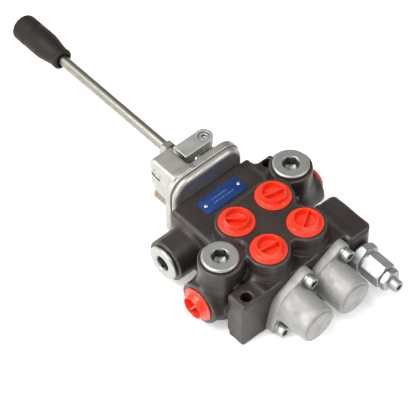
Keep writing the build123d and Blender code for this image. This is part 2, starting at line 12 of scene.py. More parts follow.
import bmesh
import bpy
import numpy as np
import openvdb as vdb
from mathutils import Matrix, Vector


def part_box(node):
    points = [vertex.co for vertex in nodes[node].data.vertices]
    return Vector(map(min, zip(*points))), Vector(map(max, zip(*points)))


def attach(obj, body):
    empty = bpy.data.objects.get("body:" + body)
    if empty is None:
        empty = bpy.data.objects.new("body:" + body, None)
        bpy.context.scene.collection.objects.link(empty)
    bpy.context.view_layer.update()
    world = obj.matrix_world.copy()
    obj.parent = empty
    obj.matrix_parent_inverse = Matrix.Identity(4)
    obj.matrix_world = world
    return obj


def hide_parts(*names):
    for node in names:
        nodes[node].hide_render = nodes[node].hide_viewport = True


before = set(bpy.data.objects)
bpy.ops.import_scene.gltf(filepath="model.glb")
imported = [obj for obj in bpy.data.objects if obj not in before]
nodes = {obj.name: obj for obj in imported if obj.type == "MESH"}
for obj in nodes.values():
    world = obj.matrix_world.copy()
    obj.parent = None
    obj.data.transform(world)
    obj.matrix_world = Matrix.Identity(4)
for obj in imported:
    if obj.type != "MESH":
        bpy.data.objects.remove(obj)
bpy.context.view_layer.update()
MM = 0.001
print("nodes", len(nodes))


# %% [markdown]
# Places come from the frame. A node's box gives its middle and its ends, so a piece that
# replaces a node lands where the node was, and nothing is typed in twice.

# %% Places from the frame, in millimetres
def low(node):
    return np.array(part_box(node)[0]) / MM


def high(node):
    return np.array(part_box(node)[1]) / MM


def middle(node):
    return (low(node) + high(node)) / 2


# %% [markdown]
# Most pieces are a grid of points: one direction goes round an outline and the other goes along
# a profile. A function works the whole grid out as one array. Rows that shrink to a point close
# the piece, so a merge of doubles and a recalculation of normals finish it.

# %% Grid of points to mesh
SMOOTH_ANGLE = math.radians(32)


def add_object(name, vertices, faces):
    """A mesh object from an array of points in millimetres and a list of faces."""
    mesh = bpy.data.meshes.new(name)
    mesh.from_pydata((np.asarray(vertices) * MM).tolist(), [], np.asarray(faces).tolist())
    piece = bpy.data.objects.new(name, mesh)
    bpy.context.scene.collection.objects.link(piece)
    return piece


def clean(piece):
    """Merge doubles, drop empty faces, turn the faces outwards and shade them smooth up to an angle."""
    mesh = piece.data
    work = bmesh.new()
    work.from_mesh(mesh)
    bmesh.ops.remove_doubles(work, verts=work.verts, dist=2e-6)
    bmesh.ops.dissolve_degenerate(work, edges=work.edges, dist=1e-7)
    bmesh.ops.recalc_face_normals(work, faces=work.faces)
    work.to_mesh(mesh)
    work.free()
    mesh.shade_smooth()
    mesh.set_sharp_from_angle(angle=SMOOTH_ANGLE)
    return piece


def grid_piece(name, points, closed=False):
    """points has rows along the profile and columns round the outline; the columns wrap round.
    A closed profile also joins the last row to the first."""
    rows, columns = points.shape[:2]
    index = np.arange(rows * columns).reshape(rows, columns)
    last = index if closed else index[:-1]
    following = np.roll(index, -1, 0) if closed else index[1:]
    quads = np.stack([last, np.roll(last, -1, 1), np.roll(following, -1, 1), following], -1)
    return clean(add_object(name, points.reshape(-1, 3), quads.reshape(-1, 4)))


def join(name, pieces):
    """Several meshes as one piece, by copying their points and faces into one mesh."""
    work = bmesh.new()
    for piece in pieces:
        work.from_mesh(piece.data)
        bpy.data.objects.remove(piece)
    mesh = bpy.data.meshes.new(name)
    work.to_mesh(mesh)
    work.free()
    joined = bpy.data.objects.new(name, mesh)
    bpy.context.scene.collection.objects.link(joined)
    mesh.shade_smooth()
    mesh.set_sharp_from_angle(angle=SMOOTH_ANGLE)
    return joined


# %% [markdown]
# A turned part is a profile carried round an axis. `rounded` replaces a corner of the profile
# with an arc, the way a lathe tool leaves it, so that each edge catches a thin line of light.

# %% Profiles with rounded corners
def rounded(corners, radius, steps=3):
    """Polyline of (r, h) corners with each inner corner replaced by a short curve.
    The curve is a quadratic Bezier whose ends stand back from the corner by the radius,
    or by 0.45 of the shorter side where the side is short."""
    corners = np.array(corners, float)
    radii = np.broadcast_to(radius, len(corners))
    path = [corners[0]]
    for before, corner, after, wanted in zip(corners, corners[1:], corners[2:], radii[1:]):
        back, ahead = before - corner, after - corner
        room = 0.45 * min(np.linalg.norm(back), np.linalg.norm(ahead))
        reach = min(wanted, room)
        start = corner + back / np.linalg.norm(back) * reach
        end = corner + ahead / np.linalg.norm(ahead) * reach
        t = np.linspace(0, 1, steps + 1)[:, None]
        path.extend((1 - t) ** 2 * start + 2 * t * (1 - t) * corner + t ** 2 * end)
    path.append(corners[-1])
    return np.array(path)


# %% [markdown]
# Every outline is a function of the angle: a circle, a hexagon, or the two-eared outline of a
# cap flange. A row of the grid is an outline scaled to the profile's radius, and a row may blend
# from one outline to another, which is how a hexagon socket sinks into a round head.

# %% Outlines as functions of the angle
SEGMENTS = 96


def angles(count=SEGMENTS):
    return np.arange(count) * 2 * math.pi / count


def hexagon(theta, turn=0.0):
    """Distance from the centre to a hexagon's side, for a hexagon one across its half flats."""
    sector = np.mod(theta - turn + math.pi / 6, math.pi / 3) - math.pi / 6
    return 1 / np.cos(sector)


def axes_for(direction):
    """Two unit vectors across a direction, and the direction itself."""
    along = np.array(direction, float)
    along = along / np.linalg.norm(along)
    helper = np.array([0.0, 0.0, 1.0]) if abs(along[2]) < 0.9 else np.array([1.0, 0.0, 0.0])
    across = np.cross(helper, along)
    across = across / np.linalg.norm(across)
    return across, np.cross(along, across), along


def placed(radius, height, theta, centre, direction):
    """Points at polar radius and height in the frame that a centre and a direction make."""
    across, up, along = axes_for(direction)
    radius, height, theta = np.broadcast_arrays(radius, height, theta)
    return (np.asarray(centre, float) + (radius * np.cos(theta))[..., None] * across
            + (radius * np.sin(theta))[..., None] * up + height[..., None] * along)


def hex_prism(name, flats, height, centre, direction, turn=0.0, chamfer=0.5, bore=0.0):
    """Hexagonal nut: the radius is the smaller of the hexagon's and that of a 30 degree cone at
    each end, which is the curved chamfer a bar lathe leaves on the corners."""
    half = flats / 2
    theta = angles()[None, :]
    depth = np.array([0, 0.25, 0.5, 0.8, 1.2, 1.7, 2.3])
    end = depth[depth < height / 2]
    h = np.concatenate([end, height - end[::-1]])[:, None]
    distance = np.minimum(h, height - h)
    cone = half * (1 - 0.03) + distance * 1.75 - chamfer * 0.2
    body = np.minimum(half * hexagon(theta, turn), cone)
    wall = np.full((1, SEGMENTS), bore)
    radius = np.concatenate([wall, body, wall])
    heights = np.concatenate([[[0.0]], h, [[height]]])
    points = placed(radius, heights, theta, centre, direction)
    return grid_piece(name, points, closed=bore > 0)


# %% [markdown]
# ## Finishes
#
# Effects that several finishes share are node groups: a fine noise that breaks up the gloss,
# the rings that a lathe leaves, and the marks of handling. Each puts out a mask or a
# height, and the shader itself stays in the material. The painted highlight on edges and painted
# shade in corners are no group: they come from the mesh attribute `edge`.

# %% Helpers for node trees
def new_group(name, inputs, outputs):
    """Shader node group with named float or colour sockets; inputs give their default values."""
    group = bpy.data.node_groups.new(name, "ShaderNodeTree")
    for label, kind, value in inputs:
        socket = group.interface.new_socket(label, in_out="INPUT", socket_type=kind)
        if value is not None:
            socket.default_value = value
    for label, kind in outputs:
        group.interface.new_socket(label, in_out="OUTPUT", socket_type=kind)
    return group, group.nodes.new("NodeGroupInput"), group.nodes.new("NodeGroupOutput")


def math_node(tree, operation, first, second=0.0):
    """Math node; each argument is a socket or a number."""
    node = tree.nodes.new("ShaderNodeMath")
    node.operation = operation
    for slot, value in enumerate((first, second)):
        if isinstance(value, (int, float)):
            node.inputs[slot].default_value = value
        else:
            tree.links.new(value, node.inputs[slot])
    return node.outputs[0]


def noise_node(tree, vector, scale, detail=4.0, roughness=0.5):
    node = tree.nodes.new("ShaderNodeTexNoise")
    node.inputs["Detail"].default_value = detail
    node.inputs["Roughness"].default_value = roughness
    tree.links.new(vector, node.inputs["Vector"])
    if isinstance(scale, (int, float)):
        node.inputs["Scale"].default_value = scale
    else:
        tree.links.new(scale, node.inputs["Scale"])
    return node.outputs["Fac"]


FLOAT, VECTOR = "NodeSocketFloat", "NodeSocketVector"


# %% [markdown]
# Cast skin: sand leaves fine grain with a few larger pits and lumps. Two noises and a cell
# pattern add up to one height, and their slow part also clouds the gloss.

# %% Node group: cast skin
def cast_skin_group():
    group, given, out = new_group(
        "cast skin",
        [("Vector", VECTOR, None), ("Grain", FLOAT, 1500.0), ("Pits", FLOAT, 0.4)],
        [("Height", FLOAT), ("Cloud", FLOAT)])
    grain = noise_node(group, given.outputs["Vector"], given.outputs["Grain"], 5.0, 0.6)
    lumps = noise_node(group, given.outputs["Vector"], math_node(group, "MULTIPLY", given.outputs["Grain"], 0.22))
    cloud = noise_node(group, given.outputs["Vector"], math_node(group, "MULTIPLY", given.outputs["Grain"], 0.05))
    cells = group.nodes.new("ShaderNodeTexVoronoi")
    group.links.new(given.outputs["Vector"], cells.inputs["Vector"])
    group.links.new(math_node(group, "MULTIPLY", given.outputs["Grain"], 0.35), cells.inputs["Scale"])
    pits = math_node(group, "LESS_THAN", cells.outputs["Distance"], 0.22)
    pits = math_node(group, "MULTIPLY", pits, given.outputs["Pits"])
    height = math_node(group, "ADD", math_node(group, "MULTIPLY", grain, 0.5), lumps)
    group.links.new(math_node(group, "SUBTRACT", height, pits), out.inputs["Height"])
    group.links.new(cloud, out.inputs["Cloud"])
    return group


# %% [markdown]
# Turning: a lathe tool leaves fine rings about the axis. The vector arrives with the axis on
# its Z, so the ring number is the distance from Z, broken up by a little noise.

# %% Node group: turned rings
def turned_rings_group():
    group, given, out = new_group(
        "turned rings",
        [("Vector", VECTOR, None), ("Rings", FLOAT, 9000.0), ("Waver", FLOAT, 0.35)],
        [("Height", FLOAT), ("Cloud", FLOAT)])
    split = group.nodes.new("ShaderNodeSeparateXYZ")
    group.links.new(given.outputs["Vector"], split.inputs[0])
    square = math_node(group, "ADD", math_node(group, "MULTIPLY", split.outputs[0], split.outputs[0]),
                       math_node(group, "MULTIPLY", split.outputs[1], split.outputs[1]))
    distance = math_node(group, "SQRT", square)
    flat = group.nodes.new("ShaderNodeCombineXYZ")
    group.links.new(distance, flat.inputs[0])
    group.links.new(split.outputs[2], flat.inputs[2])
    uneven = noise_node(group, flat.outputs[0], math_node(group, "MULTIPLY", given.outputs["Rings"], 0.3), 3.0)
    phase = math_node(group, "ADD", math_node(group, "MULTIPLY", distance, given.outputs["Rings"]),
                      math_node(group, "MULTIPLY", split.outputs[2], given.outputs["Rings"]))
    wave = math_node(group, "SINE", phase)
    height = math_node(group, "ADD", math_node(group, "MULTIPLY", wave, 0.3), uneven)
    group.links.new(height, out.inputs["Height"])
    cloud = noise_node(group, given.outputs["Vector"], math_node(group, "MULTIPLY", given.outputs["Rings"], 0.02))
    mixed = math_node(group, "ADD", math_node(group, "MULTIPLY", uneven, given.outputs["Waver"]), cloud)
    group.links.new(mixed, out.inputs["Cloud"])
    return group


# %% [markdown]
# Handling marks: long thin scratches, made by squeezing a noise along one axis and keeping only
# its crests, with a broad smear that lifts the roughness where hands and rags have been.

# %% Node group: handling marks
def handling_group():
    group, given, out = new_group(
        "handling marks",
        [("Vector", VECTOR, None), ("Density", FLOAT, 500.0)],
        [("Scratch", FLOAT), ("Smear", FLOAT)])
    stretch = group.nodes.new("ShaderNodeMapping")
    stretch.inputs["Scale"].default_value = (1.0, 0.09, 0.4)
    stretch.inputs["Rotation"].default_value = (0.3, 0.2, 0.6)
    group.links.new(given.outputs["Vector"], stretch.inputs["Vector"])
    lines = noise_node(group, stretch.outputs[0], given.outputs["Density"], 6.0, 0.7)
    crest = math_node(group, "GREATER_THAN", lines, 0.64)
    group.links.new(crest, out.inputs["Scratch"])
    smear = noise_node(group, given.outputs["Vector"], math_node(group, "MULTIPLY", given.outputs["Density"], 0.12))
    group.links.new(smear, out.inputs["Smear"])
    return group


GROUPS = {"cast": cast_skin_group(), "turned": turned_rings_group(), "handled": handling_group()}


# %% [markdown]
# A finish is a short recipe: two colours mixed by a cloud, a range of roughness, and a height
# for the bump. `finish` wires it once, so a new finish is one line of numbers. Where a mesh
# carries an attribute called `edge`, the colour also gets a painted highlight, paler, on convex
# edges and painted shade, darker, in corners and sockets.

# %% The finish builder
def finish(name, colour, second, rough, metallic=0.0, pattern="cast", scale=1500.0, bump=0.05,
           centre=(0, 0, 0), turn=(0, 0, 0), smear=0.08, scratch=0.0, edge=None, shader=None):
    """Material from two colours, a roughness range and a pattern group.
    centre, in metres, and turn put the pattern's Z axis on a turned part's own axis."""
    material = bpy.data.materials.new(name)
    material.use_nodes = True
    tree = material.node_tree
    surface = tree.nodes["Principled BSDF"]
    surface.inputs["Metallic"].default_value = metallic
    for socket, value in (shader or {}).items():
        surface.inputs[socket].default_value = value
    where = tree.nodes.new("ShaderNodeTexCoord")
    mapping = tree.nodes.new("ShaderNodeMapping")
    mapping.vector_type = "TEXTURE"
    mapping.inputs["Location"].default_value = centre
    mapping.inputs["Rotation"].default_value = turn
    tree.links.new(where.outputs["Object"], mapping.inputs["Vector"])
    marks = tree.nodes.new("ShaderNodeGroup")
    marks.node_tree = GROUPS[pattern]
    marks.inputs[1].default_value = scale
    tree.links.new(mapping.outputs[0], marks.inputs["Vector"])
    handled = tree.nodes.new("ShaderNodeGroup")
    handled.node_tree = GROUPS["handled"]
    tree.links.new(where.outputs["Object"], handled.inputs["Vector"])

    mix = tree.nodes.new("ShaderNodeMix")
    mix.data_type = "RGBA"
    mix.inputs["A"].default_value = (*colour, 1)
    mix.inputs["B"].default_value = (*second, 1)
    tree.links.new(marks.outputs["Cloud"], mix.inputs["Factor"])
    shade = mix.outputs["Result"]
    # Painted light: a positive `edge` mixes in the first tint, a painted highlight on convex edges, and a negative one
    # mixes in the second, painted shade in corners and sockets.
    if edge:
        measured = tree.nodes.new("ShaderNodeAttribute")
        measured.attribute_name = "edge"
        for sign, painted_tint in ((1.0, edge[0]), (-1.0, edge[1])):
            amount = math_node(tree, "MULTIPLY", measured.outputs["Fac"], sign)
            amount = math_node(tree, "MINIMUM", math_node(tree, "MAXIMUM", amount, 0.0), 1.0)
            painted_light_mix = tree.nodes.new("ShaderNodeMix")
            painted_light_mix.data_type = "RGBA"
            tree.links.new(amount, painted_light_mix.inputs["Factor"])
            tree.links.new(shade, painted_light_mix.inputs["A"])
            painted_light_mix.inputs["B"].default_value = (*painted_tint, 1)
            shade = painted_light_mix.outputs["Result"]
    tree.links.new(shade, surface.inputs["Base Color"])

    gloss = tree.nodes.new("ShaderNodeMapRange")
    gloss.inputs["From Min"].default_value = 0.3
    gloss.inputs["From Max"].default_value = 0.7
    gloss.inputs["To Min"].default_value = rough[0]
    gloss.inputs["To Max"].default_value = rough[1]
    tree.links.new(marks.outputs["Cloud"], gloss.inputs["Value"])
    worn = math_node(tree, "ADD", gloss.outputs[0], math_node(tree, "MULTIPLY", handled.outputs["Smear"], smear))
    tree.links.new(worn, surface.inputs["Roughness"])

    height = math_node(tree, "SUBTRACT", marks.outputs["Height"],
                       math_node(tree, "MULTIPLY", handled.outputs["Scratch"], scratch))
    relief = tree.nodes.new("ShaderNodeBump")
    relief.inputs["Distance"].default_value = 0.0004
    relief.inputs["Strength"].default_value = bump
    tree.links.new(height, relief.inputs["Height"])
    tree.links.new(relief.outputs[0], surface.inputs["Normal"])
    return material


def dress(piece, material):
    piece.data.materials.clear()
    piece.data.materials.append(material)
    return piece


# %% [markdown]
# ## The casting
#
# A casting has no sharp inner corner: the sand needs a fillet wherever a boss meets a wall. It
# could be modelled face by face and bevelled, but where five bosses run together no bevel
# holds. So the casting is written as a distance field: each boss is a formula that gives the
# distance to its surface, a smooth union of two formulas leaves a fillet between them, and a
# plain maximum with a plane is the milling cut that leaves a face flat. The field is sampled on
# a grid and OpenVDB, which comes with Blender, turns its zero level into a mesh.

# %% Distance formulas
def field_axes(lowest, highest, step):
    """Coordinates of a grid over a box, as three arrays that broadcast together."""
    ranges = [np.arange(a - 3 * step, b + 3 * step, step, dtype=np.float32) for a, b in zip(lowest, highest)]
    return np.meshgrid(*ranges, indexing="ij", sparse=True)


def round_box(grid, lowest, highest, radius):
    """Distance to a box with rounded edges: the distance outside, less the radius."""
    gaps = [np.abs(c - (a + b) / 2) - (b - a) / 2 + radius for c, a, b in zip(grid, lowest, highest)]
    outside = np.sqrt(sum(np.maximum(g, 0) ** 2 for g in gaps))
    inside = np.minimum(np.maximum(np.maximum(gaps[0], gaps[1]), gaps[2]), 0)
    return outside + inside - radius


def cylinder(grid, axis, centre, radius, start, end, edge=0.0, draft=0.0):
    """Distance to a cylinder along X, Y or Z (0, 1, 2) between two ends. edge rounds its rims,
    and draft makes it wider towards its start, as a pattern must be to leave the sand."""
    across = [i for i in (0, 1, 2) if i != axis]
    away = np.sqrt((grid[across[0]] - centre[0]) ** 2 + (grid[across[1]] - centre[1]) ** 2)
    side = away - radius - draft * (end - grid[axis]) + edge
    along = np.abs(grid[axis] - (start + end) / 2) - (end - start) / 2 + edge
    outside = np.sqrt(np.maximum(side, 0) ** 2 + np.maximum(along, 0) ** 2)
    return outside + np.minimum(np.maximum(side, along), 0) - edge


def blend_in(solid, other, fillet):
    """Smooth union: near the seam both distances count, which leaves a fillet of about that size."""
    share = np.clip(0.5 + 0.5 * (other - solid) / fillet, 0, 1)
    return other * (1 - share) + solid * share - fillet * share * (1 - share)


def waves(grid, length, height):
    """Slow unevenness of a sand casting: a sum of crossed sines, the same on every run."""
    x, y, z = [c * (2 * math.pi / length) for c in grid]
    return height * (np.sin(x + 1.3 * np.sin(y * 0.7)) + np.sin(y * 1.1 + 1.7 * np.sin(z * 0.6))
                     + np.sin(z * 0.9 + 1.1 * np.sin(x * 0.8))) / 3


# %% [markdown]
# The field also knows how bent its surface is: where its second derivatives add up to a large
# number the surface is a convex edge, and where they are negative it is an inner corner. That
# number is kept on the mesh as the attribute `edge`, from which the paint gets a painted
# highlight on convex edges and painted shade in inner corners.

# %% Field to mesh
def field_piece(name, field, grid, step):
    """Mesh of the zero level, with `edge` measured from the field's Laplacian at each point."""
    volume = vdb.FloatGrid()
    volume.background = 10.0
    volume.copyFromArray(np.clip(field, -6, 6).astype(np.float32))
    points, triangles, quads = volume.convertToPolygons(isovalue=0.0, adaptivity=0.0)
    lists = [np.array(f)[:, ::-1].tolist() for f in (triangles, quads) if len(f)]
    faces = sum(lists, [])
    origin = np.array([c.min() for c in grid])
    piece = bpy.data.objects.new(name, bpy.data.meshes.new(name))
    piece.data.from_pydata(((origin + points * step) * MM).tolist(), [], faces)
    bpy.context.scene.collection.objects.link(piece)
    soft = field
    for axis in (0, 1, 2):
        soft = (np.roll(soft, 1, axis) + 2 * soft + np.roll(soft, -1, axis)) / 4
    bend = sum(np.roll(soft, 1, a) + np.roll(soft, -1, a) - 2 * soft for a in (0, 1, 2)) / step ** 2
    cell = np.clip(np.rint(points).astype(int), 0, np.array(field.shape) - 1)
    bend = bend[cell[:, 0], cell[:, 1], cell[:, 2]]
    # Positive on convex edges, for a painted highlight; negative in inner corners, for painted shade.
    edge = np.clip(np.sign(bend) * np.maximum(np.abs(bend) - 0.15, 0) * 1.5, -1, 1)
    store = piece.data.attributes.new("edge", "FLOAT", "POINT")
    store.data.foreach_set("value", edge.astype(np.float32))
    piece.data.shade_smooth()
    print(name, "faces", len(faces))
    return piece


# %% [markdown]
# Driving sizes of the casting. Ends and heights are read from the frame; what the frame's boxes
# can't tell, such as the radius of a boss, is named here.

# %% Sizes of the casting
BODY_LOW, BODY_HIGH = low("valve_body"), high("valve_body")
END_X = low("spring_cap_1")[0]
LEVER_X = high("adapter_plate")[0]
RELIEF_X = low("relief_seal")[0]
DECK_Z = low("label_plate")[2]
PORT_Z = BODY_HIGH[2]
HALF_W = 41.0
SPOOL_Z = middle("spring_cap_1")[2]
SPOOL_YS = [middle("spring_cap_1")[1], middle("spring_cap_2")[1]]
PORTS = [middle(f"port_cap_{p}")[:2] for p in ("a1", "b1", "a2", "b2")]
BOSS_R = 18.0
TOP_PLUGS = [(-1.2, -51.0), (-31.5, 51.0)]
PLUG_SEAT_Z = 62.5
SIDE_BOSSES = [(-1.5, BODY_LOW[1], -38.0), (-48.7, -64.5, -38.0), (-31.5, BODY_HIGH[1], 38.0)]
LUGS = [((19, -63, 0), (END_X, -38, DECK_Z)), ((-60.5, 38, 0), (-42, 57, DECK_Z))]
LUG_HOLES = [(30.2, -53.2), (-54.5, 48.5)]
RELIEF_BLOCK = ((1.5, 40.6, 4), (RELIEF_X, 66.5, DECK_Z))
CAST_STEP = 0.85


# %% Valve body: the casting as one field
def cast_body():
    """Round boxes and drafted bosses blended together, then milled flat and drilled."""
    grid = field_axes(BODY_LOW, BODY_HIGH, CAST_STEP)
    x, y, z = grid
    body = round_box(grid, (LEVER_X - 8, -HALF_W, -6), (END_X + 8, HALF_W, DECK_Z), 4.0)
    body = np.maximum(body, np.maximum(x - END_X, LEVER_X - x))
    # the island under the work ports: four drafted bosses run together over a low step
    island = round_box(grid, (-24, -28, 36), (24, 28, PORT_Z + 6), 5.0)
    for px, py in PORTS:
        island = blend_in(island, cylinder(grid, 2, (px, py), 16.6, 36, PORT_Z + 6, draft=0.05), 3.0)
    # the island runs out to the label in one straight wall, and a web ties it to the near plug
    island = blend_in(island, round_box(grid, (-34.0, -19, 36), (0, 19, PORT_Z + 6), 2.0), 2.0)
    island = blend_in(island, round_box(grid, (-15.0, -50, 36), (12.5, -24, PLUG_SEAT_Z - 0.4), 3.0), 3.0)
    foot = cylinder(grid, 2, PORTS[0], 18.9, 36, DECK_Z + 2.6, edge=1.2)
    for px, py in PORTS[1:]:
        foot = np.minimum(foot, cylinder(grid, 2, (px, py), 18.9, 36, DECK_Z + 2.6, edge=1.2))
    body = blend_in(body, foot, 1.6)
    body = blend_in(body, island, 2.6)
    body = blend_in(body, round_box(grid, (1.5, 36, 4), (END_X, 50, DECK_Z), 3.0), 2.0)
    for px, py in TOP_PLUGS:
        body = blend_in(body, cylinder(grid, 2, (px, py), BOSS_R - 0.7, 8, PLUG_SEAT_Z, edge=1.0, draft=0.012), 6.0)
    for px, face, root in SIDE_BOSSES:
        boss = cylinder(grid, 1, (px, SPOOL_Z), BOSS_R, min(face, root), max(face, root), edge=1.0)
        body = blend_in(body, boss, 5.0)
    for corner, opposite in LUGS:
        body = blend_in(body, round_box(grid, corner, opposite, 2.6), 5.0)
    block = round_box(grid, *RELIEF_BLOCK, 5.0)
    outer = np.sqrt(np.maximum(x - RELIEF_X + 10, 0) ** 2 + np.maximum(y - 56.5, 0) ** 2) - 10
    body = blend_in(body, np.maximum(block, outer), 2.5)
    body = np.maximum(body, -round_box(grid, (10, -80, -8), (22.5, -44, 6.5), 1.5))
    body = body + waves(grid, 23.0, 0.28) + waves(grid, 9.0, 0.07)
    # milling cuts
    for cut in (z - PORT_Z, -z, x - RELIEF_X, LEVER_X - x):
        body = np.maximum(body, cut)
    body = np.maximum(body, np.where(y < 40.6, x - END_X, -99))
    for face in (y - BODY_HIGH[1], BODY_LOW[1] - y):
        body = np.maximum(body, face)
    # drillings: mounting holes, ports, spool bores
    drill = [cylinder(grid, 2, c, 4.5, -5, 80) for c in LUG_HOLES]
    drill += [cylinder(grid, 2, c, 10.4, PORT_Z - 16, 90) for c in PORTS]
    drill += [cylinder(grid, 2, c, 10.4, PLUG_SEAT_Z - 16, 90) for c in TOP_PLUGS]
    drill += [cylinder(grid, 0, (c, SPOOL_Z), 9.4, -90, 60) for c in SPOOL_YS]
    drill += [cylinder(grid, 0, (c, SPOOL_Z), 12.2, END_X - 8, 60) for c in SPOOL_YS]
    for px, face, root in SIDE_BOSSES:
        outward = np.sign(face - root)
        drill.append(cylinder(grid, 1, (px, SPOOL_Z), 10.4, *sorted((face + 9 * outward, face - 15 * outward))))
    drill.append(cylinder(grid, 0, (middle("relief_seal")[1], SPOOL_Z), 9.0, RELIEF_X - 22, RELIEF_X + 9))
    for hole in drill:
        body = np.maximum(body, -hole)
    return field_piece("valve_body_casting", body, grid, CAST_STEP)


# The two edge tints are painted light: the paler one is a painted highlight on convex edges, the darker one painted
# shade in inner corners.
PAINT = finish("black_paint_on_iron", (0.013, 0.0085, 0.0065), (0.026, 0.0185, 0.0145), (0.26, 0.44),
               scale=750.0, bump=0.55, smear=0.12, edge=((0.045, 0.036, 0.03), (0.006, 0.004, 0.003)),
               shader={"Specular IOR Level": 0.42})
body_casting = dress(cast_body(), PAINT)
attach(body_casting, "valve")
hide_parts("valve_body")


# %% [markdown]
# ## Fastening a piece to the frame
#
# Every new piece needs three facts: the body that carries it, the nodes it stands for and the
# record's material slot. One helper states them together, and prints the piece so that nothing
# is left behind.

# %% Helper: carry
def carry(piece, material, body, slot, *stands_for):
    """Give a finished piece its material, its body and the nodes it stands for. The slot is not used."""
    dress(piece, material)
    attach(piece, body)
    if stands_for:
        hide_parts(*stands_for)
    print("piece", piece.name, "on", body, "faces", len(piece.data.polygons))
    return piece


# %% [markdown]
# Turned pieces differ only in their rows. A row is a radius and a height, and the radius may be
# a whole outline instead of one number: that is how a knurl, a hexagon socket or the two ears
# of a cap flange join a round part without a seam.

# %% Rows with outlines, and the hexagon socket
def spun(name, rows, centre, direction, count=SEGMENTS, closed=False):
    """Rows of (radius or outline, height), carried round an axis."""
    radius = np.stack([np.broadcast_to(r, count) for r, _ in rows])
    height = np.stack([np.broadcast_to(h, count) for _, h in rows])
    return grid_piece(name, placed(radius, height, angles(count)[None, :], centre, direction), closed)


def socket_rows(flats, top, depth, turn=0.0, count=SEGMENTS):
    """Rows that sink a hexagon socket into a flat end. Near the top the hole is the larger of
    the hexagon and a 45 degree cone, which is the countersink the punch needs."""
    half = flats / 2
    outline = half * hexagon(angles(count), turn)
    lead = half * 1.22
    rows = [(np.maximum(outline, lead - d), top - d) for d in np.linspace(0, lead - half, 6)]
    return rows + [(outline, top - depth), (half * 0.9, top - depth - half * 0.12), (0, top - depth - half * 0.5)]


def thread_rows(radius, start, end, pitch, count=SEGMENTS):
    """Rows of a screw thread: the radius falls and rises with the height less the angle's share
    of a turn, so the crests climb as a helix. The thread fades in at both ends."""
    heights = np.linspace(start, end, int(abs(end - start) / pitch * 6) + 2)
    phase = np.abs(np.mod(heights[:, None] / pitch - angles(count)[None, :] / (2 * math.pi), 1) * 2 - 1)
    fade = np.clip(np.minimum(abs(heights - start), abs(heights - end)) / pitch, 0, 1)[:, None]
    depth = 0.5 * pitch * np.clip(1.25 * phase - 0.1, 0, 1) * fade
    return [(radius - d, h) for d, h in zip(depth, heights)]


# %% [markdown]
# Flat plates are an outline carried from one face to the other. The outline shrinks by a small
# inset near each face, on the quarter circle that a deburring tool leaves.

# %% Plates with rounded corners
def rounded_rectangle(width, height, corner, steps=8):
    """Points of a rectangle with round corners, anticlockwise: four quarter circles."""
    quarter = np.linspace(0, math.pi / 2, steps)
    arcs = []
    for k, (sx, sy) in enumerate(((1, 1), (-1, 1), (-1, -1), (1, -1))):
        a = quarter + k * math.pi / 2
        arcs.append(np.stack([sx * (width / 2 - corner) + corner * np.cos(a),
                              sy * (height / 2 - corner) + corner * np.sin(a)], -1))
    return np.concatenate(arcs)


def slab(name, width, height, corner, thick, edge, origin, first, second, steps=8):
    """Plate whose outline lies on two given axes; its thickness runs along their cross product."""
    first, second = np.array(first, float), np.array(second, float)
    normal = np.cross(first, second)
    quarter = np.linspace(0, math.pi / 2, 4)
    insets = np.concatenate([edge * (1 - np.sin(quarter)), edge * (1 - np.sin(quarter[::-1]))])
    levels = np.concatenate([edge * (1 - np.cos(quarter)), thick - edge * (1 - np.cos(quarter[::-1]))])
    rings = []
    for inset, level in zip(insets, levels):
        ring = rounded_rectangle(width - 2 * inset, height - 2 * inset, max(corner - inset, 0.05), steps)
        rings.append(origin + ring[:, :1] * first + ring[:, 1:] * second + level * normal)
    points = np.stack(rings)
    ends = [np.broadcast_to(points[k].mean(0), points[k].shape)[None] for k in (0, -1)]
    return grid_piece(name, np.concatenate([ends[0], points, ends[1]]))


# %% [markdown]
# ## Finishes of this valve
#
# Iron under thin black paint, sand-blasted die-cast aluminium, zinc plate with its bluish sheen,
# bare turned steel, glossy red plastic, and anodised sheet. The second colour and the two
# roughness numbers say how uneven each one is.

# %% The finishes
TURN_TO_X = (0, math.pi / 2, 0)
TURN_TO_Y = (math.pi / 2, 0, 0)


def axis_at(x, y, z):
    """Place of a turned part's axis, in metres, for the ring pattern."""
    return tuple(float(c) * MM for c in (x, y, z))


# In zinc the paler edge tint would be a painted highlight on convex edges, but no zinc piece carries a positive
# `edge`; the darker one is painted shade in hex sockets.
def zinc(name, centre, turn, colour=(0.50, 0.50, 0.47), rough=(0.24, 0.4)):
    return finish(name, colour, tuple(c * 0.72 for c in colour), rough, metallic=1.0, pattern="turned",
                  scale=16000.0, bump=0.035, centre=centre, turn=turn, smear=0.1, scratch=0.15,
                  edge=((0.75, 0.75, 0.72), (0.045, 0.048, 0.044)))


def shade_socket(piece, centre, direction, radius, below):
    """Painted shade in a socket: the attribute `edge` is negative within a radius of the
    axis and under a height along it, and grows with the depth."""
    centre, along = np.asarray(centre, float), axes_for(direction)[2]
    points = np.empty(len(piece.data.vertices) * 3)
    piece.data.vertices.foreach_get("co", points)
    reach = points.reshape(-1, 3) / MM - centre
    height = reach @ along
    away = np.linalg.norm(reach - height[:, None] * along, axis=1)
    socket_shade = -np.clip((below - height) / 2.0 + 0.35, 0, 0.6) * (away < radius) * (height < below)
    store = piece.data.attributes.new("edge", "FLOAT", "POINT")
    store.data.foreach_set("value", socket_shade.astype(np.float32))
    return piece


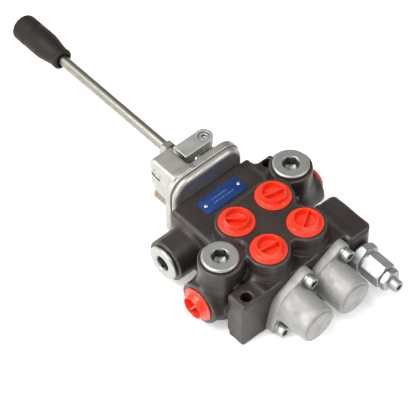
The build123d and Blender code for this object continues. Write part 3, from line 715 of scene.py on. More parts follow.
BLASTED = finish("blasted_die_cast_aluminium", (0.45, 0.44, 0.425), (0.34, 0.335, 0.32), (0.6, 0.78), metallic=1.0,
                 scale=2200.0, bump=0.5, smear=0.08, scratch=0.1)
CAST_PLATE = finish("die_cast_plate", (0.50, 0.49, 0.45), (0.33, 0.32, 0.295), (0.32, 0.52), metallic=1.0,
                    scale=1900.0, bump=0.2, smear=0.12, scratch=0.2)
GROUND = finish("ground_face", (0.62, 0.61, 0.59), (0.48, 0.475, 0.46), (0.1, 0.18), metallic=1.0,
                scale=3500.0, bump=0.012, smear=0.05, scratch=0.1)
RED = finish("glossy_red_plastic", (0.76, 0.034, 0.009), (0.62, 0.024, 0.006), (0.2, 0.32), scale=420.0, bump=0.02,
             smear=0.08, shader={"Specular IOR Level": 0.5, "Subsurface Weight": 0.04,
                                 "Subsurface Scale": 0.002, "IOR": 1.49})
BLUE = finish("blue_anodised_label", (0.012, 0.05, 0.21), (0.008, 0.034, 0.15), (0.32, 0.45), metallic=0.6,
              scale=2400.0, bump=0.03, smear=0.1, scratch=0.3)
PRINT = finish("etched_print", (0.16, 0.22, 0.33), (0.05, 0.1, 0.22), (0.35, 0.5), metallic=0.6,
               scale=2400.0, bump=0.03)
BRIGHT = finish("bare_aluminium", (0.7, 0.69, 0.66), (0.52, 0.51, 0.48), (0.22, 0.36), metallic=1.0,
                scale=2600.0, bump=0.06, smear=0.1, scratch=0.2)
BLACK = finish("black_phenolic_grip", (0.011, 0.0085, 0.007), (0.018, 0.014, 0.012), (0.4, 0.55), scale=700.0,
               bump=0.03, smear=0.14, scratch=0.25, shader={"Specular IOR Level": 0.16})
BAR_STEEL = finish("zinc_plated_bar", (0.56, 0.57, 0.52), (0.42, 0.425, 0.39), (0.3, 0.5), metallic=1.0,
                   scale=2100.0, bump=0.1, smear=0.12, scratch=0.3)
LINK_STEEL = finish("oiled_link_steel", (0.30, 0.26, 0.225), (0.16, 0.135, 0.115), (0.3, 0.48), metallic=1.0,
                    scale=1600.0, bump=0.12, smear=0.1, scratch=0.25)
SPOOL_STEEL = finish("oil_browned_spool_steel", (0.30, 0.24, 0.195), (0.2, 0.155, 0.125), (0.22, 0.38), metallic=1.0,
                     scale=3000.0, bump=0.02, smear=0.1, scratch=0.2)
SPRING_STEEL = finish("spring_wire", (0.33, 0.32, 0.31), (0.18, 0.17, 0.165), (0.24, 0.4), metallic=1.0,
                      scale=2500.0, bump=0.05, smear=0.1)
RUBBER = finish("seal_rubber", (0.014, 0.014, 0.014), (0.03, 0.03, 0.03), (0.5, 0.7), scale=1800.0, bump=0.08)
FIBRE = finish("gasket_fibre", (0.16, 0.155, 0.145), (0.26, 0.25, 0.235), (0.7, 0.9), scale=2200.0, bump=0.2)

# %% [markdown]
# ## Plugs and plastic caps
#
# A G1/2 plug is turned from bar, punched for a 12 mm key and zinc plated. A bonded washer lies
# under its flange. Each plug is one profile: thread, flange with its chamfer, socket.

# %% Steel plugs and their seals
PLUG_PLACES = [(np.array([*xy, PLUG_SEAT_Z]), (0, 0, 1)) for xy in TOP_PLUGS]
PLUG_PLACES.append((np.array([SIDE_BOSSES[1][0], SIDE_BOSSES[1][1], SPOOL_Z]), (0, -1, 0)))
KEY_TURN = math.radians(47.9)


def steel_plug(name, centre, direction, turn):
    rows = [(0, -12.0), (8.6, -12.0), (9.6, -11.2)] + thread_rows(10.3, -11, -1.5, 1.8)
    rows += [(9.4, -1.0), (9.4, 0.8), (14.2, 0.8), (14.5, 0.95), (14.6, 1.2), (14.6, 2.5), (14.5, 2.72),
             (13.75, 3.42), (13.5, 3.5), (12.6, 3.5), (10.0, 3.5), (7.6, 3.5)]
    plug = spun(name, rows + socket_rows(12.0, 3.5, 9.0, turn), centre, direction)
    # painted shade in the key socket
    return shade_socket(plug, centre, direction, 7.2, 3.2)


def bonded_washer(name, centre, direction):
    rows = rounded([(10.5, 0.02), (13.6, 0.02), (13.6, 0.78), (10.5, 0.78)], 0.3)
    return spun(name, [tuple(r) for r in rows], centre, direction, closed=True)


for label, (seat, direction) in zip(("near", "far", "tank"), PLUG_PLACES):
    turning = (0, 0, 0) if direction[2] else TURN_TO_Y
    plug = steel_plug(f"plug_{label}", seat, direction, KEY_TURN)
    shown = ["steel_plugs"] if label == "near" else []
    carry(plug, zinc(f"zinc_plug_{label}", axis_at(*seat), turning), "valve", "zinc_plugs", *shown)
    ring = bonded_washer(f"plug_washer_{label}", seat, direction)
    carry(ring, RUBBER, "valve", "seal_rubber", *(["plug_seals"] if label == "near" else []))


# %% [markdown]
# The red caps are one injection moulding each: a flange, a hollow skirt in the port, a raised
# cup and a web across the cup to grip with a coin. The wall is one profile that runs down the
# inside, over the rim and down the outside, so it has a real thickness. Twelve shallow
# flutes at the foot of the cup show where the mould's core was cut.

# %% Plastic port caps
def plastic_cap(name, centre, direction, web_angle):
    """One closed profile from the floor's middle up the inner wall and down the outer wall."""
    theta = angles()
    flute = 0.28 * np.clip(np.cos(12 * theta), 0, 1) ** 2
    rows = [(0, 0.5), (7.6, 0.5), (8.1, 0.7), (8.3, 1.1), (8.62, 5.3), (8.75, 5.9), (8.95, 6.15), (9.35, 6.2),
            (9.65, 6.1), (9.8, 5.8), (10.05, 4.9), (10.35 - 0.3 * flute, 3.9), (10.75 - flute, 2.7),
            (11.1 - flute, 1.8), (11.3, 1.5), (11.7, 1.38), (13.6, 1.3), (14.1, 1.15), (14.35, 0.85), (14.4, 0.5),
            (14.3, 0.12), (14.0, 0.0), (10.3, 0.0), (10.25, -0.6), (10.0, -8.4), (9.7, -9.0), (9.0, -9.0),
            (8.9, -8.6), (8.9, -1.2), (8.5, -0.8), (0, -0.8)]
    shell = spun(name, rows, centre, direction)
    across, up, along = axes_for(direction)
    first = math.cos(web_angle) * across + math.sin(web_angle) * up
    second = np.cross(along, first)
    start = np.asarray(centre, float) - 0.65 * second + 2.9 * along
    web = slab(name + "_web", 17.3, 4.9, 0.5, 1.3, 0.28, start, first, along * -1, steps=4)
    return join(name, [shell, web])


QUARTER = math.pi / 2
CAP_PLACES = {
    "port_cap_a1": ((*PORTS[0], PORT_Z), (0, 0, 1), math.radians(48) + QUARTER),
    "port_cap_b1": ((*PORTS[1], PORT_Z), (0, 0, 1), math.radians(81) + QUARTER),
    "port_cap_a2": ((*PORTS[2], PORT_Z), (0, 0, 1), math.radians(77) + QUARTER),
    "port_cap_b2": ((*PORTS[3], PORT_Z), (0, 0, 1), math.radians(121) + QUARTER),
    "inlet_cap": ((SIDE_BOSSES[0][0], BODY_LOW[1], SPOOL_Z), (0, -1, 0), math.radians(60)),
    "outlet_cap": ((SIDE_BOSSES[2][0], BODY_HIGH[1], SPOOL_Z), (0, 1, 0), math.radians(30)),
}
for node, (seat, direction, web_angle) in CAP_PLACES.items():
    carry(plastic_cap(f"{node}_moulding", seat, direction, web_angle), RED, "valve", "red_plastic", node)


# %% [markdown]
# ## Spring caps
#
# A cap covers the centring spring at the end of its spool. Its flange is the tight outline
# around three circles. That outline has a support function: in each direction, the furthest of
# the three circles. The distance to the outline at an angle is the least of support over cosine,
# and the same formula with smaller circles gives each inset row.

# %% Outline around three circles
EAR_OFFSET, EAR_R, CAP_R = (14.3, 18.0), 6.6, 16.5
CAP_COLUMNS = 144


def around_circles(inset=0.0):
    """Radius of the hull of a middle circle and two ears, at each angle."""
    facing = np.linspace(-math.pi, math.pi, 721)
    reach = EAR_OFFSET[0] * np.cos(facing) + EAR_OFFSET[1] * np.sin(facing)
    support = np.maximum(CAP_R - inset, np.abs(reach) + EAR_R - inset)
    spread = np.cos(angles(CAP_COLUMNS)[:, None] - facing[None, :])
    return np.where(spread > 0.05, support[None, :] / np.maximum(spread, 0.05), 1e9).min(1)


def spring_cap(name, centre):
    """Flange outline, fillet, drafted cup, rounded rim, raised disc, and the spring's bore."""
    length, thick = 36.5, 8.0
    rows = [(0, length - 4), (11.2, length - 4), (12.2, length - 5), (12.2, 0.4), (12.5, 0.0),
            (around_circles(0.5), 0.0), (around_circles(0.15), 0.15), (around_circles(), 0.5),
            (around_circles(), thick - 1.1), (around_circles(0.12), thick - 0.6),
            (around_circles(0.42), thick - 0.22), (around_circles(0.95), thick)]
    for turn in np.linspace(0, QUARTER, 6):
        fillet = 2.2 * (1 - math.sin(turn))
        rows.append((np.minimum(around_circles(1.0), CAP_R - 0.15 + fillet),
                     thick + 2.2 * (1 - math.cos(turn)) + 0.02))
    top = CAP_R - 0.75
    rows += [(top, length - 2.0), (top - 0.2, length - 1.1), (top - 0.75, length - 0.35), (top - 1.6, length - 0.02),
             (13.7, length), (13.45, length - 0.22), (13.2, length - 0.22), (13.02, length + 0.1),
             (12.95, length + 0.5), (12.6, length + 0.75), (12.2, length + 0.8), (6.0, length + 0.74),
             (0, length + 0.72)]
    return spun(name, rows, centre, (1, 0, 0), CAP_COLUMNS)


# %% [markdown]
# Cap screws are cold headed: a knurled drum with a rounded rim and a 5 mm socket. The split
# washer under each is a square wire wound once, cut, and left slightly open.

# %% Screws and split washers
def cap_screw(name, centre, direction, shank=21.0, turn=0.0):
    count = 120
    knurl = 0.13 * np.abs(np.sin(15 * angles(count)))
    rows = [(0, -shank), (2.3, -shank), (2.9, -shank + 0.7)]
    rows += thread_rows(2.95, -shank + 0.8, -3.0, 1.0, count)
    rows += [(2.9, -2.5), (2.9, 0.0), (4.6, 0.0), (4.86, 0.25), (5.0 - knurl, 0.55), (5.0 - knurl, 4.9),
             (4.86, 5.2), (4.8, 5.5), (4.55, 5.85), (4.2, 6.0), (3.3, 6.0)]
    screw = spun(name, rows + socket_rows(5.0, 6.0, 3.0, turn, count), centre, direction, count)
    # painted shade in the screw's socket
    return shade_socket(screw, centre, direction, 3.0, 5.8)


def split_washer(name, centre, direction, opening):
    """Rows run round the ring and columns round its square section; each end closes to a point,
    and one end stands a little proud of the other, as in a used spring washer."""
    turn = np.linspace(0.09, 2 * math.pi - 0.09, 56)
    section = np.array([(3.15, 0.0), (4.9, 0.0), (4.98, 0.08), (4.98, 1.1), (4.9, 1.18), (3.15, 1.18),
                        (3.08, 1.1), (3.08, 0.08)])
    lift = 0.2 * (turn / (2 * math.pi))[:, None]
    points = placed(section[None, :, 0], section[None, :, 1] + lift, turn[:, None] + opening, centre, direction)
    ends = [np.broadcast_to(points[k].mean(0), points[k].shape)[None] for k in (0, -1)]
    return grid_piece(name, np.concatenate([ends[0], points, ends[1]]))


for number, spool_y in zip("12", SPOOL_YS):
    middle_of_cap = np.array([END_X, spool_y, SPOOL_Z])
    carry(spring_cap(f"spring_cap_{number}_casting", middle_of_cap), BLASTED, "valve", "cap_aluminium",
          f"spring_cap_{number}")
    for side, place in ((-1, "low"), (1, "high")):
        seat = middle_of_cap + [8.0, side * EAR_OFFSET[0], side * EAR_OFFSET[1]]
        first = number + place == "1low"
        split = split_washer(f"split_washer_{number}_{place}", seat, (1, 0, 0), 0.7 + side)
        carry(split, zinc(f"zinc_washer_{number}_{place}", axis_at(*seat), TURN_TO_X), "valve", "zinc_screws",
              *(["cap_lock_washers"] if first else []))
        screw = cap_screw(f"cap_screw_{number}_{place}", seat + [1.4, 0, 0], (1, 0, 0), turn=0.25 * side)
        carry(screw, zinc(f"zinc_screw_{number}_{place}", axis_at(*seat), TURN_TO_X), "valve", "zinc_screws",
              *(["cap_screws"] if first else []))


# %% [markdown]
# ## Relief valve
#
# The relief valve is a stack of turned hexagons on one axis: an adapter screwed into the
# casting, the body, a lock nut, and the threaded adjuster with its own socket.

# %% Relief valve pieces
RELIEF_AXIS = np.array([0, middle("relief_seal")[1], middle("relief_seal")[2]])
RELIEF_TURN = math.radians(3)
RELIEF_STEPS = [high("relief_adapter")[0], high("relief_adapter")[0] + 19.2, low("relief_lock_nut")[0],
                high("relief_lock_nut")[0]]
ZINC_RELIEF = zinc("zinc_relief_valve", axis_at(*RELIEF_AXIS), TURN_TO_X, (0.43, 0.44, 0.445),
                   (0.38, 0.5))


def on_relief(x):
    return RELIEF_AXIS + [x, 0, 0]


def relief_ring(name, corners, radius):
    """A turned ring on the relief valve's axis from corners of (r, x), with rounded corners."""
    return spun(name, [tuple(row) for row in rounded(corners, radius)], RELIEF_AXIS, (1, 0, 0), closed=True)


def relief_adapter():
    seat, end = RELIEF_X + 1.2, RELIEF_STEPS[0]
    hexagonal = hex_prism("adapter_hexagon", 24.0, end - 1.0 - seat, on_relief(seat), (1, 0, 0), RELIEF_TURN, 0.7, 6.0)
    shank_rows = [(6.0, -14), (8.0, -14)] + thread_rows(8.9, -13.5, 0.5, 1.5) + [(8.4, 0.8), (8.4, 2.0), (6.0, 2.0)]
    shank = spun("adapter_shank", shank_rows, on_relief(RELIEF_X), (1, 0, 0), closed=True)
    collar = relief_ring("collar", [(6.0, end - 1.2), (10.0, end - 1.2), (10.0, end), (6.0, end)], 0.25)
    return join("relief_adapter_turned", [hexagonal, shank, collar])


def relief_body():
    start, end, top = RELIEF_STEPS[:3]
    hexagonal = hex_prism("body_hexagon", 19.5, end - start, on_relief(start), (1, 0, 0), RELIEF_TURN, 0.7, 5.05)
    collar = relief_ring("collar", [(5.05, end - 1), (7.5, end - 1), (7.5, top), (5.05, top)], 0.15)
    tube = relief_ring("tube", [(4.1, RELIEF_X + 0.2), (5.8, RELIEF_X + 0.2), (5.8, start + 1), (4.1, start + 1)], 0.4)
    return join("relief_body_turned", [hexagonal, collar, tube])


carry(relief_adapter(), ZINC_RELIEF, "valve", "relief_zinc", "relief_adapter")
carry(relief_body(), ZINC_RELIEF, "valve", "relief_zinc", "relief_body")
lock_nut = hex_prism("relief_lock_nut_turned", 17.0, RELIEF_STEPS[3] - RELIEF_STEPS[2], on_relief(RELIEF_STEPS[2]),
                     (1, 0, 0), math.radians(8), 0.7, 5.05)
carry(lock_nut, ZINC_RELIEF, "valve", "relief_zinc", "relief_lock_nut")
seal_corners = [(9.1, RELIEF_X + 0.02), (11.0, RELIEF_X + 0.02), (11.0, RELIEF_X + 1.18), (9.1, RELIEF_X + 1.18)]
carry(relief_ring("relief_seal_ring", seal_corners, 0.4), RUBBER, "valve", "seal_rubber", "relief_seal")
TIP_X = high("relief_adjuster")[0]
ADJUSTER_ROWS = ([(0, TIP_X - 32), (4.3, TIP_X - 32)] + thread_rows(4.95, TIP_X - 31.5, TIP_X - 6.5, 1.25)
                 + [(4.95, TIP_X - 6), (4.95, TIP_X - 0.7), (4.8, TIP_X - 0.25), (4.4, TIP_X), (3.3, TIP_X)]
                 + socket_rows(5.0, TIP_X, 4.0, 0.2))
adjuster = spun("relief_adjuster_threaded", ADJUSTER_ROWS, RELIEF_AXIS, (1, 0, 0))
# painted shade in the adjuster's socket
carry(shade_socket(adjuster, RELIEF_AXIS, (1, 0, 0), 3.1, TIP_X - 0.3), ZINC_RELIEF, "adjuster", "relief_zinc",
      "relief_adjuster")


# %% [markdown]
# ## Label and rivets
#
# The label is a strip of anodised sheet held by two drive rivets. Real print is left out: a few
# short etched strokes in two rows say only that something is written there.

# %% Label, strokes and rivets
LABEL_LOW, LABEL_HIGH = low("label_plate"), high("label_plate")
LABEL_MID = (LABEL_LOW + LABEL_HIGH) / 2


def label_strokes():
    """Two rows of short bars of uneven length, from a fixed list, along the label's long side."""
    bars = []
    for column, lengths in ((-1.9, (1.1, 0.8, 1.9, 1.1, 1.6, 0.9, 1.4, 1.0)),
                            (1.7, (1.0, 1.7, 1.2, 0.8, 1.9, 1.3, 1.0, 1.5, 0.8, 1.1))):
        y = LABEL_MID[1] - 9.6
        for number, length in enumerate(lengths):
            origin = np.array([LABEL_MID[0] + column, y + length / 2, LABEL_HIGH[2] - 0.1])
            bars.append(slab(f"stroke_{column}_{number}", 1.25, length, 0.2, 0.12, 0.03, origin,
                             (1, 0, 0), (0, 1, 0), 3))
            y += length + 0.8
    return join("label_strokes", bars)


label = slab("label_sheet", *(LABEL_HIGH - LABEL_LOW)[:2], 2.4, LABEL_HIGH[2] - LABEL_LOW[2], 0.18,
             np.array([LABEL_MID[0], LABEL_MID[1], LABEL_LOW[2]]), (1, 0, 0), (0, 1, 0))
carry(label, BLUE, "valve", "blue_label", "label_plate")
carry(label_strokes(), PRINT, "valve", "blue_label")
DOME = [(0, -5.0), (1.2, -5.0), (1.25, 0.0), (1.6, 0.0), (1.7, 0.15), (1.66, 0.4), (1.45, 0.72),
        (1.05, 0.92), (0.5, 0.99), (0, 1.0)]
rivets = [spun(f"rivet_{y}", DOME, (LABEL_MID[0], y, LABEL_HIGH[2]), (0, 0, 1), 40) for y in (-17.6, 16.4)]
carry(join("drive_rivets", rivets), BRIGHT, "valve", "rivet_aluminium", "label_rivets")


# %% [markdown]
# ## Plate and joystick housing
#
# The adapter plate and the housing are die cast, so they are fields again, on a finer grid. The
# plate's side towards the casting is ground to seal against it, and mirrors the paint and the
# label; it gets a second material on the faces that look that way.

# %% Plate and housing as fields
PLATE_LOW, PLATE_HIGH = low("adapter_plate"), high("adapter_plate")
FLANGE_HIGH = high("joystick_housing")
HOUSING_LOW = low("joystick_housing")
FLANGE_X = high("joystick_housing")[0] - 7.8
TILT_X, TILT_Z = middle("tilt_shaft")[0], middle("tilt_shaft")[2]
BOLT_YZ = [(-21, 8), (21, 8), (0, 8), (28, 42)]


def plate_field(grid, lowest, highest, corner, edge):
    """Distance to a rounded rectangle across the spools, thickened between two X values."""
    x, y, z = grid
    start, end = lowest[0], highest[0]
    across = np.abs(y) - highest[1] + corner
    upright = np.abs(z - (highest[2] + lowest[2]) / 2) - (highest[2] - lowest[2]) / 2 + corner
    side = np.sqrt(np.maximum(across, 0) ** 2 + np.maximum(upright, 0) ** 2)
    side = side + np.minimum(np.maximum(across, upright), 0) - corner + edge
    along = np.abs(x - (start + end) / 2) - (end - start) / 2 + edge
    outside = np.sqrt(np.maximum(side, 0) ** 2 + np.maximum(along, 0) ** 2)
    return outside + np.minimum(np.maximum(side, along), 0) - edge


def spool_holes(solid, grid, start, end):
    for spool_y in SPOOL_YS:
        solid = np.maximum(solid, -cylinder(grid, 0, (spool_y, SPOOL_Z), 9.8, start, end))
    for bolt in BOLT_YZ:
        solid = np.maximum(solid, -cylinder(grid, 0, bolt, 3.2, start, end))
    return solid


def adapter_plate():
    step = 0.5
    grid = field_axes(PLATE_LOW, PLATE_HIGH, step)
    solid = plate_field(grid, PLATE_LOW - [6, 0, 0], PLATE_HIGH, 16.0, 4.6)
    solid = np.maximum(solid + waves(grid, 17.0, 0.05) * (grid[0] < PLATE_HIGH[0] - 1), PLATE_LOW[0] - grid[0])
    return field_piece("adapter_plate_casting", spool_holes(solid, grid, -90, -60), grid, step)


def housing():
    """The flange, and the ear that holds the tilt shaft: a box whose free lower corner is large,
    hollowed for the rocker arm, bored for the shaft, with a curved relief under the bore."""
    step = 0.5
    grid = field_axes(HOUSING_LOW, FLANGE_HIGH, step)
    x, y, z = grid
    front = plate_field(grid, (FLANGE_X + 3, 0, HOUSING_LOW[2]), FLANGE_HIGH, 15.0, 0.8)
    flange = np.minimum(front, plate_field(grid, (FLANGE_X, 0, HOUSING_LOW[2]), FLANGE_HIGH, 15.0, 3.2))
    centre_x, centre_z = (HOUSING_LOW[0] - 70) / 2, (35.2 + 70.0) / 2
    corner = np.where((x < centre_x) & (z < centre_z), 12.5, 4.0)
    along = np.abs(x - centre_x) - (-70 - HOUSING_LOW[0]) / 2 + corner
    upright = np.abs(z - centre_z) - (70.0 - 35.2) / 2 + corner
    side = np.sqrt(np.maximum(along, 0) ** 2 + np.maximum(upright, 0) ** 2)
    side = side + np.minimum(np.maximum(along, upright), 0) - corner
    width = np.abs(y + 20.2) - 9.7
    ear = np.sqrt(np.maximum(side + 2.4, 0) ** 2 + np.maximum(width + 2.4, 0) ** 2)
    ear = ear + np.minimum(np.maximum(side, width) + 2.4, 0) - 2.4
    ear = np.maximum(ear, x - FLANGE_HIGH[0] + 3)
    solid = blend_in(flange, ear, 3.0) + waves(grid, 15.0, 0.06)
    hollow = round_box(grid, (HOUSING_LOW[0] - 20, -25.9, 10), (FLANGE_X - 1, -14.5, 67.4), 1.5)
    solid = np.maximum(solid, -np.where(z < 34.0, 9.0, hollow))
    solid = np.maximum(solid, -cylinder(grid, 1, (TILT_X, TILT_Z), 3.55, -40, 0))
    ring = np.abs(np.sqrt((x - TILT_X) ** 2 + (z - TILT_Z) ** 2) - 7.4) - 1.5
    relief = np.maximum(np.maximum(ring, z - 56.0), np.maximum(x - TILT_X - 2.5, y + 25.4))
    solid = np.maximum(solid, -relief)
    return field_piece("joystick_housing_casting", spool_holes(solid, grid, -90, -60), grid, step)


def ground_side(piece, material, limit):
    """Second material on the faces that look along +X and lie at the limit."""
    piece.data.materials.append(material)
    polygons = piece.data.polygons
    normals, centres = np.empty(len(polygons) * 3), np.empty(len(polygons) * 3)
    polygons.foreach_get("normal", normals)
    polygons.foreach_get("center", centres)
    looking = (normals.reshape(-1, 3)[:, 0] > 0.985) & (centres.reshape(-1, 3)[:, 0] > limit * MM - 0.0004)
    polygons.foreach_set("material_index", looking.astype(np.int32))


plate = carry(adapter_plate(), CAST_PLATE, "valve", "plate_aluminium", "adapter_plate")
ground_side(plate, GROUND, PLATE_HIGH[0])
carry(housing(), CAST_PLATE, "valve", "housing_aluminium", "joystick_housing")
for number, bolt in enumerate(BOLT_YZ):
    seat = np.array([FLANGE_X, *bolt])
    screw = cap_screw(f"housing_screw_{number}", seat, (-1, 0, 0), 25.0, 0.3 * number)
    carry(screw, zinc(f"zinc_housing_screw_{number}", axis_at(*seat), TURN_TO_X), "valve", "zinc_screws",
          *(["housing_screws"] if number == 0 else []))


# %% [markdown]
# ## Lever
#
# The tilt shaft carries the yoke, and the lever swings on a pin in the yoke. The bar over the
# pin is milled from flat stock with one round end, where a ball pin hangs down into the second
# spool's fork. The hub below holds the rod.

# %% Shaft, bar, hub and ball pin
SHAFT_LOW, SHAFT_HIGH = low("tilt_shaft"), high("tilt_shaft")
SHAFT_LONG = SHAFT_HIGH[1] - SHAFT_LOW[1]
SHAFT_ROWS = [(0, 0.25), (0.9, 0.2), (1.2, 0.0), (2.9, 0.0), (3.3, 0.12), (3.5, 0.45), (3.5, SHAFT_LONG - 0.4),
              (3.2, SHAFT_LONG), (0, SHAFT_LONG)]
carry(spun("tilt_shaft_turned", SHAFT_ROWS, (TILT_X, SHAFT_LOW[1], TILT_Z), (0, 1, 0)),
      zinc("zinc_tilt_shaft", axis_at(TILT_X, 0, TILT_Z), TURN_TO_Y), "tilt_frame", "link_steel", "tilt_shaft")

BAR_LOW, BAR_HIGH = low("swing_bar"), high("swing_bar")
BALL_Y = SPOOL_YS[1]


def swing_bar():
    """Distance to a box with one round end: the distance to a segment, less half the width, cut
    square at the near end. The counterbore and the pin's hole are taken away."""
    step = 0.32
    grid = field_axes(BAR_LOW, BAR_HIGH, step)
    y = grid[1]
    drum = cylinder(grid, 2, (TILT_X, BALL_Y), (BAR_HIGH[0] - BAR_LOW[0]) / 2, BAR_LOW[2], BAR_HIGH[2], edge=0.7)
    straight = round_box(grid, BAR_LOW, (BAR_HIGH[0], BALL_Y + 3, BAR_HIGH[2]), 0.7)
    solid = np.where(y < BALL_Y, straight, drum)
    solid = np.maximum(solid, -cylinder(grid, 2, (TILT_X, BALL_Y), 4.7, BAR_HIGH[2] - 4, BAR_HIGH[2] + 5))
    solid = np.maximum(solid, -cylinder(grid, 2, (TILT_X, BALL_Y), 2.55, BAR_LOW[2] - 5, BAR_HIGH[2] + 5))
    solid = np.maximum(solid, -cylinder(grid, 2, (TILT_X, 0), 3.1, BAR_LOW[2] - 5, BAR_LOW[2] + 7))
    return field_piece("swing_bar_milled", solid, grid, step)


carry(swing_bar(), BAR_STEEL, "lever", "bar_steel", "swing_bar")

HUB_LOW, HUB_HIGH = low("swing_hub"), high("swing_hub")
ROD_Z = middle("lever_rod")[2]
ROD_R = high("lever_rod")[2] - ROD_Z


def swing_hub():
    step = 0.36
    grid = field_axes(HUB_LOW, HUB_HIGH, step)
    drum = cylinder(grid, 2, (TILT_X, 0), HUB_HIGH[0] - TILT_X, HUB_LOW[2], HUB_HIGH[2], edge=0.5)
    neck = cylinder(grid, 0, (0, ROD_Z), 5.8, HUB_LOW[0], TILT_X, edge=0.6)
    solid = blend_in(drum, neck, 2.0)
    solid = np.maximum(solid, -cylinder(grid, 2, (TILT_X, 0), 3.1, HUB_LOW[2] - 5, HUB_HIGH[2] + 5))
    solid = np.maximum(solid, -cylinder(grid, 0, (0, ROD_Z), ROD_R, HUB_LOW[0] - 5, HUB_LOW[0] + 11))
    return field_piece("swing_hub_turned", solid, grid, step)


carry(swing_hub(), LINK_STEEL, "lever", "link_steel", "swing_hub")

BALL_LOW = low("ball_pin")
BALL_ROWS = [(3.2 * math.sin(a), -3.2 * math.cos(a)) for a in np.linspace(0, math.radians(130), 14)]
BALL_ROWS += [(2.4, 2.6), (2.4, 9.6), (2.5, 9.8), (4.1, 9.8), (4.3, 10.0), (4.3, 12.4), (4.15, 12.8), (3.9, 13.0),
              (2.6, 13.0)] + socket_rows(4.0, 13.0, 2.4, 0.4)
BALL_MID = (TILT_X, BALL_Y, BALL_LOW[2] + 3.2)
# painted shade in the ball pin's socket
ball = shade_socket(spun("ball_pin_turned", BALL_ROWS, BALL_MID, (0, 0, 1)), BALL_MID, (0, 0, 1), 3.4, 12.9)
carry(ball, zinc("zinc_ball_pin", axis_at(TILT_X, BALL_Y, 0), (0, 0, 0), (0.62, 0.66, 0.68)), "lever",
      "link_steel", "ball_pin")


# %% [markdown]
# The rod is bright drawn bar with a thread at its root and a lock nut against the hub. The grip
# is turned phenolic: it swells towards a domed end, with a small lip where the rod goes in and
# the flash line of its mould along each side.

# %% Lock nut, rod and grip
NUT_LOW, NUT_HIGH = low("lever_lock_nut"), high("lever_lock_nut")
lever_nut = hex_prism("lever_lock_nut_turned", 13.0, NUT_HIGH[0] - NUT_LOW[0], (NUT_LOW[0], 0, ROD_Z), (1, 0, 0),
                      QUARTER / 3, bore=ROD_R)
carry(lever_nut, zinc("zinc_lever_nut", axis_at(0, 0, ROD_Z), TURN_TO_X, (0.45, 0.42, 0.38)), "lever",
      "zinc_screws", "lever_lock_nut")
ROD_LOW, ROD_HIGH = low("lever_rod")[0], high("lever_rod")[0]
ROD_ROWS = [(0, ROD_HIGH), (3.6, ROD_HIGH)] + thread_rows(ROD_R, ROD_HIGH - 0.8, NUT_LOW[0] - 2.0, 1.25)
ROD_ROWS += [(ROD_R, NUT_LOW[0] - 2.4), (ROD_R, ROD_LOW + 0.8), (3.6, ROD_LOW), (0, ROD_LOW)]
DRAWN = finish("bright_drawn_rod", (0.34, 0.33, 0.29), (0.22, 0.21, 0.185), (0.2, 0.34), metallic=1.0,
               pattern="turned", scale=9000.0, bump=0.04, centre=axis_at(0, 0, ROD_Z), turn=TURN_TO_X,
               smear=0.12, scratch=0.25)
carry(spun("lever_rod_drawn", ROD_ROWS, (0, 0, ROD_Z), (1, 0, 0)), DRAWN, "lever", "rod_steel", "lever_rod")

GRIP_LOW, GRIP_HIGH = low("grip")[0], high("grip")[0]
GRIP_R = (high("grip")[2] - low("grip")[2]) / 2


def grip():
    """Profile from the bore, over a lip and a soft shoulder, out to a straight barrel, a shallow
    groove near the end and a rounded corner. Two ridges a fifth of a millimetre high run along
    the sides, where the halves of the mould met."""
    flash = 0.14 * np.exp(-(np.sin(angles(128) - 0.9) / 0.03) ** 2)
    full = GRIP_R - 0.16
    rows = [(0, GRIP_HIGH - 25.5), (4.55, GRIP_HIGH - 25), (4.55, GRIP_HIGH - 2.6), (6.2, GRIP_HIGH - 2.4),
            (6.5, GRIP_HIGH - 0.3), (6.8, GRIP_HIGH), (8.2, GRIP_HIGH), (8.9, GRIP_HIGH - 0.5),
            (9.15, GRIP_HIGH - 1.5), (9.15, GRIP_HIGH - 3.2), (8.95, GRIP_HIGH - 4.2)]
    for share in np.linspace(0, 1, 16):
        swell = (1 - math.cos(share * math.pi)) / 2
        shoulder = 9.0 + (full - 9.0) * (0.45 * share + 0.55 * swell)
        rows.append((shoulder + flash * min(share * 3, 1), GRIP_HIGH - 5 - 18 * share))
    rows += [(full + flash, GRIP_LOW + h) for h in (26, 19.4)]
    rows += [(full - 0.2, GRIP_LOW + 18.9), (full - 0.2, GRIP_LOW + 18.1), (full + flash, GRIP_LOW + 17.6)]
    rows += [(full + flash, GRIP_LOW + h) for h in (12, 6)]
    for lean in np.linspace(0.1, QUARTER, 9):
        rows.append((full - 5 + 5 * math.cos(lean) + flash * math.cos(lean), GRIP_LOW + 5.6 - 5 * math.sin(lean)))
    rows += [(4.0, GRIP_LOW + 0.25), (0, GRIP_LOW)]
    return spun("grip_turned", rows, (0, 0, ROD_Z), (1, 0, 0), 128)


carry(grip(), BLACK, "lever", "grip_black", "grip")


# %% [markdown]
# ## Nodes that stay
#
# Spools, springs, seats and the links deep in the housing have the right shape already. They
# keep their meshes and get a finish each.

# %% Finishes on carried-over nodes
STAYING = {
    SPOOL_STEEL: ("spool_1", "spool_2"),
    SPRING_STEEL: ("centring_spring_1", "centring_spring_2", "check_spring", "relief_spring"),
    LINK_STEEL: ("inner_spring_seat_1", "inner_spring_seat_2", "outer_spring_seat_1", "outer_spring_seat_2",
                 "spool_end_screw_1", "spool_end_screw_2", "check_poppet", "relief_poppet", "rocker_arm", "yoke",
                 "swing_pin", "drive_link"),
    RUBBER: ("spool_seals",),
    FIBRE: ("housing_gasket",),
}
for material, names in STAYING.items():
    for node in names:
        dress(nodes[node], material)
shown = [n for n in nodes if not nodes[n].hide_render]
print("nodes that stay", len(shown), sorted(shown))


# %% [markdown]
# ## Camera, floor and light
#
# The camera looks down on the corner between the spring caps and the side ports. A pale floor
# that glows a little and big soft lamps keep the shadows faint. The world is bright on one side
# and dark on the other, which gives the plated pieces something to reflect.

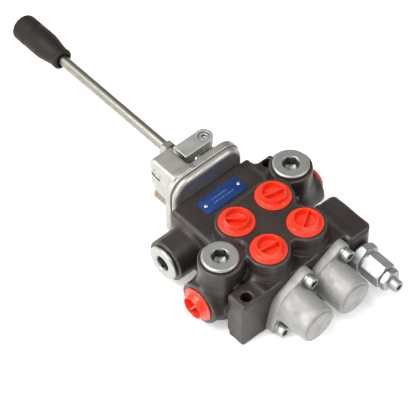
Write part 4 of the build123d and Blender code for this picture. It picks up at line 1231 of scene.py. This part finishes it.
# %% Stage
LOOK_AT = np.array([-42.18, -26.19, 64.6]) * MM
CAMERA_TURN, CAMERA_RISE = math.radians(47.864), math.radians(51.016)
CAMERA_DISTANCE = 1.5
FLOOR_HALF = 6000
BRIGHT_SIDE = (-0.34, -0.9, 0.27)
LAMPS = (("key", (-0.5, -0.9, 1.9), 1.3, 48.0), ("fill", (1.5, 0.9, 1.9), 1.6, 30.0),
         ("low", (-0.4, -1.9, 0.9), 1.2, 16.0))


def studio():
    """Camera, floor, a world that is brighter on one side, and three soft lamps."""
    toward = np.array([-math.sin(CAMERA_TURN) * math.cos(CAMERA_RISE),
                       math.cos(CAMERA_TURN) * math.cos(CAMERA_RISE), -math.sin(CAMERA_RISE)])
    camera = bpy.data.objects.new("camera", bpy.data.cameras.new("camera"))
    camera.data.lens = 170.3
    camera.data.sensor_width = 36.0
    camera.data.clip_end = 20
    camera.location = LOOK_AT - toward * CAMERA_DISTANCE
    camera.rotation_euler = Vector(toward).to_track_quat("-Z", "Y").to_euler()
    bpy.context.scene.collection.objects.link(camera)
    bpy.context.scene.camera = camera

    corners = [(-FLOOR_HALF, -FLOOR_HALF, 0), (FLOOR_HALF, -FLOOR_HALF, 0), (FLOOR_HALF, FLOOR_HALF, 0),
               (-FLOOR_HALF, FLOOR_HALF, 0)]
    floor = add_object("floor", corners, [(0, 1, 2, 3)])
    pale = bpy.data.materials.new("pale_floor")
    pale.use_nodes = True
    surface = pale.node_tree.nodes["Principled BSDF"].inputs
    surface["Base Color"].default_value = (0.92, 0.92, 0.92, 1)
    surface["Roughness"].default_value = 0.9
    surface["Emission Color"].default_value = (1, 1, 1, 1)
    surface["Emission Strength"].default_value = 0.25
    dress(floor, pale)

    bpy.context.scene.view_settings.view_transform = "Standard"
    world = bpy.data.worlds.new("studio")
    bpy.context.scene.world = world
    world.use_nodes = True
    tree = world.node_tree
    where = tree.nodes.new("ShaderNodeTexCoord")
    side = tree.nodes.new("ShaderNodeVectorMath")
    side.operation = "DOT_PRODUCT"
    side.inputs[1].default_value = BRIGHT_SIDE
    tree.links.new(where.outputs["Generated"], side.inputs[0])
    share = tree.nodes.new("ShaderNodeMapRange")
    share.inputs["From Min"].default_value = -1.0
    tree.links.new(side.outputs["Value"], share.inputs["Value"])
    ramp = tree.nodes.new("ShaderNodeValToRGB")
    tree.links.new(share.outputs[0], ramp.inputs[0])
    ramp.color_ramp.elements[0].position = 0.05
    ramp.color_ramp.elements[0].color = (0.14, 0.14, 0.145, 1)
    ramp.color_ramp.elements[1].position = 0.95
    ramp.color_ramp.elements[1].color = (1, 1, 1, 1)
    bend = ramp.color_ramp.elements.new(0.5)
    bend.color = (0.36, 0.36, 0.36, 1)
    tree.links.new(ramp.outputs[0], tree.nodes["Background"].inputs["Color"])
    tree.nodes["Background"].inputs["Strength"].default_value = 1.15

    for name, place, size, power in LAMPS:
        lamp = bpy.data.lights.new(name, "AREA")
        lamp.size = size
        lamp.energy = power
        holder = bpy.data.objects.new(name, lamp)
        holder.location = place
        holder.rotation_euler = Vector(-np.array(place) + np.array([0, 0, 0.03])).to_track_quat("-Z", "Y").to_euler()
        bpy.context.scene.collection.objects.link(holder)


studio()
